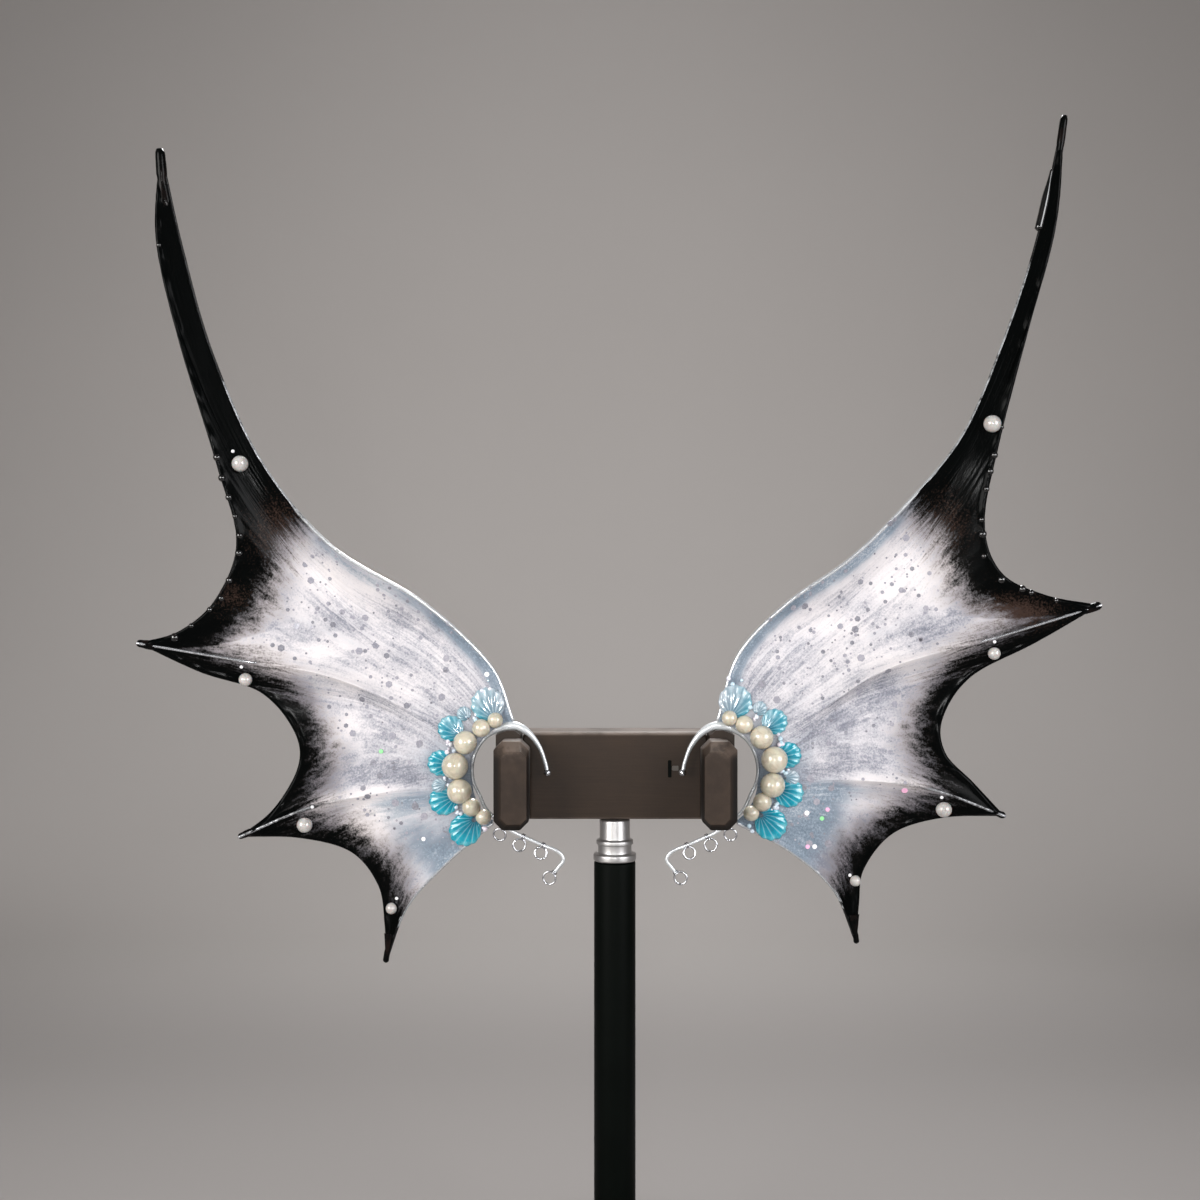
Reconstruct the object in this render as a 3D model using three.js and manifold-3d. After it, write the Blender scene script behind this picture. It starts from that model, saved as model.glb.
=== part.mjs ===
// A pair of fin-shaped ear cuffs, each hung by its wire on one arm of a clamp stand.
// Millimetres, +Z up. The origin is the middle of the base's underside and the fins face -Y.

import * as THREE from 'three';
import { mergeVertices } from 'three/addons/utils/BufferGeometryUtils.js';
import Module from 'manifold-3d';

const wasm = await Module();
wasm.setup();

// Clearance between neighbouring pieces, and the distance within which vertices are merged
const GAP = 0.3;
const WELD = 0.001;

// Stand, by height above the floor, with the pole on the Z axis
const BASE = { radius: 55, height: 8, chamfer: 2, sides: 40 };
const POLE = { radius: 6.3, top: 133.6, sides: 20 };
const NECK = { radius: 4.6, sides: 20 };
const COLLAR = {
  lowerRing: { radius: 6.5, height: 2.2 },
  band: { radius: 5.1, height: 2.8 },
  upperRing: { radius: 5.6, height: 1.4 },
};
const PLATE = { halfWidth: 27.9, bottom: 146.7, top: 173.1, front: -3, back: 12 };
const PLATE_EASE = { corner: 1.2, bevel: 0.6 };

// Place of the two cuffs' centres: sideways from the pole, in front of it, and above the floor
const CUFF = { aside: 29.4, front: -6, height: 162 };

// Clamp arm and pad of one side, in mm out from and up from the cuff's centre and behind its plane
const ARM = { inner: -1.2, outer: 6.1, bottom: -14.4, top: 12.2, front: -4, back: 9, chamfer: 2 };
const ARM_CROWN = { inner: 0.6, outer: 2.8, shoulder: 10.8 };
const PAD = { inner: -4.2, outer: 6.1, bottom: -16, top: 10, front: -16, back: -4.3 };
const PAD_EASE = { corner: 2.4, bevel: 2.2 };

// Ear wire: a hook with a ball end, the C round the ear, and a tail with four soldered loops
const WIRE = { radius: 0.6, sides: 6, steps: 44 };
const CUFF_ARC = { radius: 13.5, start: 74, end: -34, points: 7 };
const HOOK = [[-9.1, -0.8], [-8.4, 2.4], [-6.7, 6.9], [-3.7, 10.9], [0.1, 13.2]];
const TAIL = [
  [9.4, -11.5], [6.4, -14.5], [1.3, -18.4], [-6.5, -22.0],
  [-12.2, -24.4], [-13.9, -26.9], [-12.6, -29.0], [-11.1, -30.8],
];
const BALL = { radius: 1.1, sides: 10, rings: 6 };
const LOOP = { wireRadius: 0.4, sides: 5, segments: 9 };
const LOOPS = [
  { out: 5.0, up: -18.2, radius: 2.0 },
  { out: -0.9, up: -21.8, radius: 1.9 },
  { out: -7.2, up: -24.4, radius: 1.8 },
  { out: -9.8, up: -32.4, radius: 2.0 },
];

// Fins: four ribs from root to tip and the three free edges between their tips, in mm out from
// and up from the cuff's centre. A negative depth leans a tip towards the front, and sag is how
// far the middle of a web lies behind its ribs, less towards the taut outer parts of the fin. A
// spike pearl's lift clears the facets under it.
const FINS = {
  left: {
    ribs: [
      { name: 'crest', tipDepth: -9, border: 1, path: [
        [1.2, 14.6], [8.3, 31.6], [28.3, 50.3], [55.6, 67.2],
        [76.3, 92.3], [90.2, 123.8], [98.3, 153.6], [104.4, 183.4]] },
      { name: 'upper', tipDepth: -4, border: 0, path: [
        [12.8, 6.8], [37, 20.3], [58, 28.8], [81.5, 32.8], [112.5, 38.2]] },
      { name: 'middle', tipDepth: 1, border: 0, path: [
        [14.1, -3.2], [41.4, -6.9], [62, -11.2], [83.6, -20.2]] },
      { name: 'lower', tipDepth: 4, border: -1, path: [
        [7.4, -15.9], [21, -27.6], [33.2, -41.2], [40, -58.6]] },
    ],
    webs: [
      { sag: 7, edge: [
        [105.8, 157.5], [99.6, 128.4], [88.5, 91], [83.1, 68.4], [89.4, 51.4], [100, 41.9]] },
      { sag: 5, edge: [[94.2, 29.3], [77.1, 23.2], [67.4, 11.8], [66, 1.2], [73.3, -11.7]] },
      { sag: 4, edge: [[65.8, -21], [50.6, -25.4], [42.5, -35.3], [40.5, -46.8]] },
    ],
    spikePearls: [
      { name: 'crest', out: 82.2, up: 91.4, radius: 2.45, lift: 0.45 },
      { name: 'upper', out: 80.9, up: 27.4, radius: 2, lift: 0.4 },
      { name: 'middle', out: 64.1, up: -15.8, radius: 2.35, lift: 0.3 },
      { name: 'lower', out: 37.6, up: -42, radius: 1.75, lift: 0.4 },
    ],
    turn: 0,
  },
  right: {
    ribs: [
      { name: 'crest', tipDepth: -5, border: 1, path: [
        [1.4, 14.6], [7.8, 34.6], [22.2, 49.9], [41.4, 63.5], [58.7, 80.5],
        [74.5, 100], [86.2, 127], [96.1, 157.8], [103.8, 194.6]] },
      { name: 'upper', tipDepth: -3, border: 0, path: [
        [12.6, 7.1], [31.5, 17.7], [53, 30.8], [84.6, 39.9], [115.2, 49.5]] },
      { name: 'middle', tipDepth: 1.5, border: 0, path: [
        [14.1, -3.2], [42.3, -3], [65.1, -5.7], [87.9, -14]] },
      { name: 'lower', tipDepth: 4, border: -1, path: [
        [7.4, -15.9], [23.2, -24.3], [36.5, -36.2], [43.8, -52.8]] },
    ],
    webs: [
      { sag: 7, edge: [
        [101.6, 163], [93.5, 131.7], [85.4, 100.1], [80.8, 75], [85.6, 59.6], [98.7, 52.6]] },
      { sag: 5, edge: [[96.4, 38.2], [77.9, 27.9], [69.5, 15.3], [70.4, 4.8], [78.7, -4]] },
      { sag: 4, edge: [[70.1, -14.9], [55.2, -19.7], [46.3, -30.4], [44.7, -41]] },
    ],
    spikePearls: [
      { name: 'crest', out: 82.9, up: 103.5, radius: 2.6, lift: 0.1 },
      { name: 'upper', out: 83.8, up: 35.3, radius: 1.9, lift: 0.3 },
      { name: 'middle', out: 69.7, up: -11.3, radius: 2.4, lift: 0.3 },
      { name: 'lower', out: 42.8, up: -34, radius: 1.7, lift: 0.3 },
    ],
    turn: 6,
  },
};
const MEMBRANE = { thickness: 1.2, columns: [11, 8, 7], rows: 15, edgeSlack: 0.45 };
const RELIEF = { flatRadius: 27, fullRadius: 60, slackRadius: 80, tautRadius: 125 };
const BORDER = { radius: 0.6, clearance: 0.5 };
const RIB = { radius: 0.45, sides: 5, firstRow: 4 };
const CURVE_TENSION = 0.5;
const SEAT_STEPS = 60;

// Pearls in a row along the outside of the C, by angle above level and radius, and the shell fans
// behind five of them. A pearl is a ball cut flat behind its middle, by a share of its radius.
const PEARL = { rowRadius: 14.4, cut: 0.4, sides: 10, rings: 4 };
const CUFF_PEARLS = [
  { angle: 67, radius: 2.1 },
  { angle: 50.5, radius: 2.3 },
  { angle: 29, radius: 3.1 },
  { angle: 4.2, radius: 3.9 },
  { angle: -19.8, radius: 3.5 },
  { angle: -40, radius: 2.4 },
  { angle: -57, radius: 2.1 },
];
const SHELL = { spread: 76, hinge: 0.16, crown: 1.5, rim: 0.5, rows: 3 };
const FLUTE = { count: 5, depth: 0.22, notch: 0.05 };
const SHELLS = [
  { angle: 66, pearl: 0, length: 6.4, width: 10.4 },
  { angle: 31, pearl: 2, length: 5.8, width: 8.2 },
  { angle: 6, pearl: 3, length: 4.4, width: 9.4 },
  { angle: -23, pearl: 4, length: 5.2, width: 8.2 },
  { angle: -49, pearl: 5, length: 8, width: 9.4 },
];

const FINISH = {
  membrane: { color: 0xb9bfca, roughness: 0.3, metalness: 0.1 },
  silver: { color: 0xc9ccd2, roughness: 0.25, metalness: 1 },
  cream: { color: 0xe6dcc4, roughness: 0.2, metalness: 0 },
  white: { color: 0xf2f1ee, roughness: 0.2, metalness: 0 },
  turquoise: { color: 0x35a9c4, roughness: 0.15, metalness: 0 },
  brown: { color: 0x3e322d, roughness: 0.45, metalness: 0 },
  rubber: { color: 0x1c1a19, roughness: 0.6, metalness: 0 },
  black: { color: 0x121214, roughness: 0.35, metalness: 0 },
};

const radians = THREE.MathUtils.degToRad;
const spot = ([out, up], depth = 0) => new THREE.Vector3(out, depth, up);

function polar(angle, radius) {
  return [radius * Math.cos(radians(angle)), radius * Math.sin(radians(angle))];
}

function piece(name, geometry, finish) {
  const mesh = new THREE.Mesh(geometry, new THREE.MeshStandardMaterial(FINISH[finish]));
  mesh.name = name;
  return mesh;
}

// A geometry with its shared vertices merged and its collapsed triangles left out
function welded(geometry) {
  const bare = new THREE.BufferGeometry().setAttribute('position', geometry.getAttribute('position'));
  bare.setIndex(geometry.index);
  const merged = mergeVertices(bare, WELD);
  const index = merged.index.array;
  const kept = [];
  for (let i = 0; i < index.length; i += 3) {
    const [a, b, c] = index.slice(i, i + 3);
    if (a !== b && b !== c && c !== a) kept.push(a, b, c);
  }
  return merged.setIndex(kept);
}

function joined(geometries) {
  const solids = geometries.map((geometry) => {
    const { attributes, index } = welded(geometry);
    const vertProperties = new Float32Array(attributes.position.array);
    const triVerts = new Uint32Array(index.array);
    return new wasm.Manifold(new wasm.Mesh({ numProp: 3, vertProperties, triVerts }));
  });
  const { vertProperties, triVerts } = solids.reduce((sum, solid) => sum.add(solid)).getMesh();
  const geometry = new THREE.BufferGeometry();
  geometry.setAttribute('position', new THREE.BufferAttribute(vertProperties, 3));
  return geometry.setIndex(new THREE.BufferAttribute(triVerts, 1));
}

// A round bar along a smooth curve through the given points
function bar(points, radius, sides, steps) {
  const corners = Array.from({ length: sides }, (_, i) => polar((360 * i) / sides, radius));
  const section = new THREE.Shape(corners.map(([x, y]) => new THREE.Vector2(x, y)));
  const extrudePath = new THREE.CatmullRomCurve3(points);
  return welded(new THREE.ExtrudeGeometry(section, { extrudePath, steps, bevelEnabled: false }));
}

// A closed solid between two equal grids of points, the front one facing -Y
function sheet(front, back) {
  const columns = front.length;
  const rows = front[0].length;
  const at = (c, r) => c * rows + r;
  const behind = columns * rows;
  const index = [];
  for (let c = 0; c + 1 < columns; c++) {
    for (let r = 0; r + 1 < rows; r++) {
      const [a, b, d, e] = [at(c, r), at(c + 1, r), at(c + 1, r + 1), at(c, r + 1)];
      index.push(a, b, d, a, d, e);
      index.push(a + behind, d + behind, b + behind, a + behind, e + behind, d + behind);
    }
  }
  const rim = [];
  for (let c = 0; c < columns - 1; c++) rim.push(at(c, 0));
  for (let r = 0; r < rows - 1; r++) rim.push(at(columns - 1, r));
  for (let c = columns - 1; c > 0; c--) rim.push(at(c, rows - 1));
  for (let r = rows - 1; r > 0; r--) rim.push(at(0, r));
  rim.forEach((p, i) => {
    const q = rim[(i + 1) % rim.length];
    index.push(q, p, p + behind, q, p + behind, q + behind);
  });
  return new THREE.BufferGeometry().setFromPoints([...front.flat(), ...back.flat()]).setIndex(index);
}

// A solid of revolution about the Z axis from a profile of radius and height
function turned(profile, sides) {
  const points = profile.map(([radius, height]) => new THREE.Vector2(radius, height));
  return welded(new THREE.LatheGeometry(points, sides)).rotateX(Math.PI / 2);
}

// A solid between two depths from an outline in X and Z, its edges eased by a bevel
function slab(shape, front, back, bevel) {
  const geometry = new THREE.ExtrudeGeometry(shape, {
    depth: back - front - 2 * bevel,
    bevelThickness: bevel,
    bevelSize: bevel,
    bevelOffset: -bevel,
    bevelEnabled: bevel > 0,
    bevelSegments: 1,
  });
  return welded(geometry).rotateX(Math.PI / 2).translate(0, back - bevel, 0);
}

// A rectangle in X and Z with its four corners cut
function cutBox({ left, right, bottom, top }, cut) {
  const corners = [
    [left + cut, bottom], [right - cut, bottom], [right, bottom + cut], [right, top - cut],
    [right - cut, top], [left + cut, top], [left, top - cut], [left, bottom + cut],
  ];
  return new THREE.Shape(corners.map(([x, y]) => new THREE.Vector2(x, y)));
}

function stand() {
  const group = new THREE.Group();
  const baseProfile = [
    [0, 0], [BASE.radius, 0], [BASE.radius, BASE.height - BASE.chamfer],
    [BASE.radius - BASE.chamfer, BASE.height], [0, BASE.height],
  ];
  group.add(piece('base', turned(baseProfile, BASE.sides), 'black'));

  const poleBottom = BASE.height + GAP;
  const poleProfile = [[0, poleBottom], [POLE.radius, poleBottom], [POLE.radius, POLE.top], [0, POLE.top]];
  group.add(piece('pole', turned(poleProfile, POLE.sides), 'black'));

  let height = POLE.top + GAP;
  const neckProfile = [[0, height]];
  [COLLAR.lowerRing, COLLAR.band, COLLAR.upperRing].forEach((step) => {
    neckProfile.push([step.radius, height], [step.radius, height + step.height]);
    height += step.height;
  });
  const neckTop = PLATE.bottom - GAP;
  neckProfile.push([NECK.radius, height], [NECK.radius, neckTop], [0, neckTop]);
  group.add(piece('neck', turned(neckProfile, NECK.sides), 'silver'));

  const sides = { left: -PLATE.halfWidth, right: PLATE.halfWidth, bottom: PLATE.bottom, top: PLATE.top };
  const face = cutBox(sides, PLATE_EASE.corner);
  group.add(piece('clamp_plate', slab(face, PLATE.front, PLATE.back, PLATE_EASE.bevel), 'brown'));
  return group;
}

function clampSide(side) {
  const group = new THREE.Group();
  const outline = new THREE.Shape([
    new THREE.Vector2(ARM.inner, ARM.bottom),
    new THREE.Vector2(ARM.outer - ARM.chamfer, ARM.bottom),
    new THREE.Vector2(ARM.outer, ARM.bottom + ARM.chamfer),
    new THREE.Vector2(ARM.outer, ARM_CROWN.shoulder),
    new THREE.Vector2(ARM_CROWN.outer, ARM.top),
    new THREE.Vector2(ARM_CROWN.inner, ARM.top),
    new THREE.Vector2(ARM.inner, ARM_CROWN.shoulder),
  ]);
  group.add(piece(`${side}_clamp_arm`, slab(outline, ARM.front, ARM.back, 0), 'brown'));
  const sides = { left: PAD.inner, right: PAD.outer, bottom: PAD.bottom, top: PAD.top };
  const face = cutBox(sides, PAD_EASE.corner);
  group.add(piece(`${side}_clamp_pad`, slab(face, PAD.front, PAD.back, PAD_EASE.bevel), 'rubber'));
  return group;
}

function earWire() {
  const arc = Array.from({ length: CUFF_ARC.points }, (_, i) => {
    const share = i / (CUFF_ARC.points - 1);
    return polar(THREE.MathUtils.lerp(CUFF_ARC.start, CUFF_ARC.end, share), CUFF_ARC.radius);
  });
  const route = [...HOOK, ...arc, ...TAIL].map((place) => spot(place));
  const wire = bar(route, WIRE.radius, WIRE.sides, WIRE.steps);
  const [ballOut, ballUp] = HOOK[0];
  const ball = new THREE.SphereGeometry(BALL.radius, BALL.sides, BALL.rings).translate(ballOut, 0, ballUp);
  const loops = LOOPS.map(({ out, up, radius }) => {
    const ring = new THREE.TorusGeometry(radius, LOOP.wireRadius, LOOP.sides, LOOP.segments);
    return ring.rotateX(Math.PI / 2).translate(out, 0, up);
  });
  return joined([wire, ball, ...loops]);
}

// The middle surface of a fin: rib(k, v) runs along rib k from root to tip, and web(k, u, v) spreads
// from the membrane's edge at rib k to its edge at rib k + 1.
function finSurface(fin) {
  const curve = (points) => new THREE.CatmullRomCurve3(points, false, 'catmullrom', CURVE_TENSION);
  const spots = (path) => path.map((place) => spot(place));
  const curves = fin.ribs.map(({ path }) => curve(spots(path)));
  const inset = BORDER.radius + BORDER.clearance;
  const flatEdge = (k, v) => {
    const along = curves[k].getTangentAt(v);
    const inward = new THREE.Vector3(along.z, 0, -along.x).multiplyScalar(inset * fin.ribs[k].border);
    return curves[k].getPointAt(v).add(inward);
  };
  const between = ({ x, z }, low, high) => THREE.MathUtils.smoothstep(Math.hypot(x, z), low, high);
  const lean = (k, v) => fin.ribs[k].tipDepth * v * v;
  const leant = (p, depth) => p.setY(depth * between(p, RELIEF.flatRadius, RELIEF.fullRadius));

  const freeEdges = fin.webs.map(({ edge }, k) => {
    return curve([flatEdge(k, 1), ...spots(edge), flatEdge(k + 1, 1)]);
  });
  const roots = fin.ribs.map((_, k) => {
    const { x, z } = flatEdge(k, 0);
    return { angle: THREE.MathUtils.radToDeg(Math.atan2(z, x)), radius: Math.hypot(x, z) };
  });
  const inner = (k, u) => {
    const [a, b] = [roots[k], roots[k + 1]];
    const angle = THREE.MathUtils.lerp(a.angle, b.angle, u);
    return spot(polar(angle, THREE.MathUtils.lerp(a.radius, b.radius, u)));
  };
  const mix = (terms) => {
    return terms.reduce((sum, [p, weight]) => sum.addScaledVector(p, weight), new THREE.Vector3());
  };

  return {
    rib: (k, v) => leant(curves[k].getPointAt(v), lean(k, v)),
    web: (k, u, v) => {
      const p = mix([
        [flatEdge(k, v), 1 - u], [flatEdge(k + 1, v), u],
        [inner(k, u), 1 - v], [freeEdges[k].getPointAt(u), v],
        [flatEdge(k, 0), -(1 - u) * (1 - v)], [flatEdge(k + 1, 0), -u * (1 - v)],
        [flatEdge(k, 1), -(1 - u) * v], [flatEdge(k + 1, 1), -u * v],
      ]);
      const slack = 4 * u * (1 - u) * (1 - MEMBRANE.edgeSlack * v * v);
      const hollow = fin.webs[k].sag * slack * (1 - between(p, RELIEF.slackRadius, RELIEF.tautRadius));
      return leant(p, THREE.MathUtils.lerp(lean(k, v), lean(k + 1, v), u) + hollow);
    },
  };
}

// The membrane's middle points, in columns from the crest down, each from the cuff to the free edge
function finGrid(surface) {
  const grid = [];
  MEMBRANE.columns.forEach((count, k) => {
    for (let i = k === 0 ? 0 : 1; i <= count; i++) {
      const column = [];
      for (let r = 0; r <= MEMBRANE.rows; r++) {
        column.push(surface.web(k, i / count, r / MEMBRANE.rows));
      }
      grid.push(column);
    }
  });
  return grid;
}

function membrane(grid) {
  const shifted = (by) => grid.map((column) => column.map((p) => p.clone().setY(p.y + by)));
  return sheet(shifted(-MEMBRANE.thickness / 2), shifted(MEMBRANE.thickness / 2));
}

// Border wires follow the membrane's rows, and rib wires lie on the front of its ridges
function finWire(surface, k, firstRow, lift, radius, sides) {
  const points = [];
  for (let r = firstRow; r <= MEMBRANE.rows; r++) {
    const p = surface.rib(k, r / MEMBRANE.rows);
    points.push(p.setY(p.y - lift));
  }
  return bar(points, radius, sides, MEMBRANE.rows - firstRow);
}

// A pearl with its flat back on the XZ plane and its crown along +Y
function pearl(radius) {
  const backAngle = -Math.asin(PEARL.cut);
  const height = PEARL.cut * radius;
  const profile = [new THREE.Vector2(0, 0)];
  for (let i = 0; i <= PEARL.rings; i++) {
    const angle = THREE.MathUtils.lerp(backAngle, Math.PI / 2, i / PEARL.rings);
    const across = i === PEARL.rings ? 0 : radius * Math.cos(angle);
    profile.push(new THREE.Vector2(across, height + radius * Math.sin(angle)));
  }
  return welded(new THREE.LatheGeometry(profile, PEARL.sides));
}

function placedPearl(name, radius, seat, facing, finish) {
  const mesh = piece(name, pearl(radius), finish);
  mesh.position.copy(seat).addScaledVector(facing, MEMBRANE.thickness / 2 + GAP);
  mesh.quaternion.setFromUnitVectors(new THREE.Vector3(0, 1, 0), facing);
  return mesh;
}

// The point of a fin nearest to a place, and the way its front faces there
function seatOn(surface, { out, up }) {
  const step = 1 / SEAT_STEPS;
  let best = { distance: Infinity };
  MEMBRANE.columns.forEach((_, k) => {
    for (let i = 1; i < SEAT_STEPS; i++) {
      for (let j = 1; j < SEAT_STEPS; j++) {
        const p = surface.web(k, i * step, j * step);
        const distance = Math.hypot(p.x - out, p.z - up);
        if (distance < best.distance) best = { distance, k, u: i * step, v: j * step, p };
      }
    }
  });
  const { k, u, v, p } = best;
  const across = surface.web(k, u + step, v).sub(surface.web(k, u - step, v));
  const along = surface.web(k, u, v + step).sub(surface.web(k, u, v - step));
  return { seat: p, facing: across.cross(along).normalize() };
}

// A fluted fan that opens away from its hinge, flat at the back
function shellFan({ length, width }, hinge, angle) {
  const columns = 2 * FLUTE.count;
  const [alongOut, alongUp] = polar(angle, 1);
  const backDepth = -MEMBRANE.thickness / 2 - GAP;
  const front = [];
  const back = [];
  for (let c = 0; c <= columns; c++) {
    const side = 1 - (2 * c) / columns;
    const flute = c % 2 === 0 ? -1 : 1;
    const turn = radians(SHELL.spread * side);
    const reach = 1 + FLUTE.notch * flute;
    front.push([]);
    back.push([]);
    for (let r = 0; r <= SHELL.rows; r++) {
      const share = THREE.MathUtils.lerp(SHELL.hinge, 1, r / SHELL.rows) * reach;
      const forward = hinge + length * share * Math.cos(turn);
      const aside = 0.5 * width * share * Math.sin(turn);
      const dome = THREE.MathUtils.lerp(SHELL.crown, SHELL.rim, (r / SHELL.rows) ** 2);
      const depth = backDepth - dome - FLUTE.depth * flute * share;
      const place = [forward * alongOut - aside * alongUp, forward * alongUp + aside * alongOut];
      front[c].push(spot(place, depth));
      back[c].push(spot(place, backDepth));
    }
  }
  return sheet(front, back);
}

function ear(side) {
  const group = new THREE.Group();
  const fin = FINS[side];
  const surface = finSurface(fin);
  const ribLift = MEMBRANE.thickness / 2 + GAP + RIB.radius;
  const grid = finGrid(surface);
  group.add(piece(`${side}_fin`, membrane(grid), 'membrane'));
  fin.ribs.forEach(({ name, border }, k) => {
    const geometry = border
      ? finWire(surface, k, 0, 0, BORDER.radius, WIRE.sides)
      : finWire(surface, k, RIB.firstRow, ribLift, RIB.radius, RIB.sides);
    group.add(piece(`${side}_${name}_${border ? 'wire' : 'rib'}`, geometry, 'silver'));
  });
  group.add(piece(`${side}_ear_wire`, earWire(), 'silver'));

  const towardsFront = new THREE.Vector3(0, -1, 0);
  CUFF_PEARLS.forEach(({ angle, radius }, i) => {
    const seat = spot(polar(angle + fin.turn, PEARL.rowRadius + radius));
    group.add(placedPearl(`${side}_cuff_pearl_${i + 1}`, radius, seat, towardsFront, 'cream'));
  });
  SHELLS.forEach((shell, i) => {
    const hinge = PEARL.rowRadius + 2 * CUFF_PEARLS[shell.pearl].radius + GAP;
    const fan = shellFan(shell, hinge, shell.angle + fin.turn);
    group.add(piece(`${side}_shell_${i + 1}`, fan, 'turquoise'));
  });
  fin.spikePearls.forEach((place) => {
    const { seat, facing } = seatOn(surface, place);
    seat.addScaledVector(facing, place.lift);
    group.add(placedPearl(`${side}_${place.name}_pearl`, place.radius, seat, facing, 'white'));
  });
  return group;
}

const root = new THREE.Group();
root.add(stand());
[['left', -1], ['right', 1]].forEach(([side, hand]) => {
  const half = new THREE.Group();
  half.position.set(hand * CUFF.aside, CUFF.front, CUFF.height);
  half.scale.set(hand, 1, 1);
  half.add(clampSide(side), ear(side));
  root.add(half);
});

export default root;
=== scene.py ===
import math
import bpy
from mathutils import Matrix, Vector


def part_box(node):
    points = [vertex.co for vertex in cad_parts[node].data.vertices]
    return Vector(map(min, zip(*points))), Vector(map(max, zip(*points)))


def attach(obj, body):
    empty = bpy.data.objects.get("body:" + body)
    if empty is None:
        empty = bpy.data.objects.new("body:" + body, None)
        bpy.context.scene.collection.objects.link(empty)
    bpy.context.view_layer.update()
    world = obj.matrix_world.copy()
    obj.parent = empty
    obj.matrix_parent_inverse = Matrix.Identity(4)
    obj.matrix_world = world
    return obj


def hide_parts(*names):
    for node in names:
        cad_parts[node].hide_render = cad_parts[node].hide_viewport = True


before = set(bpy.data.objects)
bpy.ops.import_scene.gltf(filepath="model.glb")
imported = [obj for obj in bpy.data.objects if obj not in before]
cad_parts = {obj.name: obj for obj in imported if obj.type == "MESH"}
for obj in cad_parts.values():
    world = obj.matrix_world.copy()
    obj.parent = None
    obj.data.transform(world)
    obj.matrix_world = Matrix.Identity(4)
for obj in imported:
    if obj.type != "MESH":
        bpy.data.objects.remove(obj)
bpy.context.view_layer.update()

from types import SimpleNamespace as Sizes

import bmesh
import bpy
import numpy as np
from mathutils import Vector

# A pair of fin-shaped ear cuffs hung on a clamp stand. The tables below are in millimetres, out
# from, behind and above the centre of a cuff, and repeat the driving dimensions of the CAD part.
MM = 0.001
SIDES = {"left": -1, "right": 1}
CUFF = np.array([29.4, -6.0, 162.0])

# Ear wire: a hook with a ball end, the C round the ear, and a tail with loops by place and radius
HOOK = [(-9.1, -0.8), (-8.4, 2.4), (-6.7, 6.9), (-3.7, 10.9), (0.1, 13.2)]
CUFF_ARC = Sizes(radius=13.5, start=74, end=-34, points=7)
TAIL = [
    (9.4, -11.5), (6.4, -14.5), (1.3, -18.4), (-6.5, -22.0),
    (-12.2, -24.4), (-13.9, -26.9), (-12.6, -29.0), (-11.1, -30.8),
]
BALL_RADIUS = 1.1
LOOPS = [(5.2, -19.4, 1.85), (-0.7, -22.5, 1.85), (-7.1, -24.9, 1.8), (-9.7, -32.4, 1.9)]
LOOP_WIRE = 0.3
LOOP_TILT = Sizes(out=0.25, out_turn=2.1, up=0.2, up_turn=1.7)
# Two turns of thin wire hold each loop, and a stalk reaches a loop that hangs clear of the tail
WRAP = Sizes(shift=0.28, lift=0.16, wire=0.26, segments=20, sides=8)
STALK = Sizes(from_gap=0.9, end_gap=0.1, sides=8)
# The ear wire's radius by share of its length: a bare end, a thick resin joint and a slim tail
EAR_WIRE_RADII = [
    (0.00, 0.60), (0.06, 0.60), (0.13, 0.80), (0.19, 1.20), (0.235, 1.35), (0.28, 0.90),
    (0.33, 0.52), (0.60, 0.52), (0.68, 0.56), (1.00, 0.52),
]
EAR_WIRE = Sizes(steps=260, wobble=0.05, run=84, pitch=2.5, seed=5)
RESIN_JOINT = Sizes(at=0.22, spread=0.07, least=0.7, gain=0.3)

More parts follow.
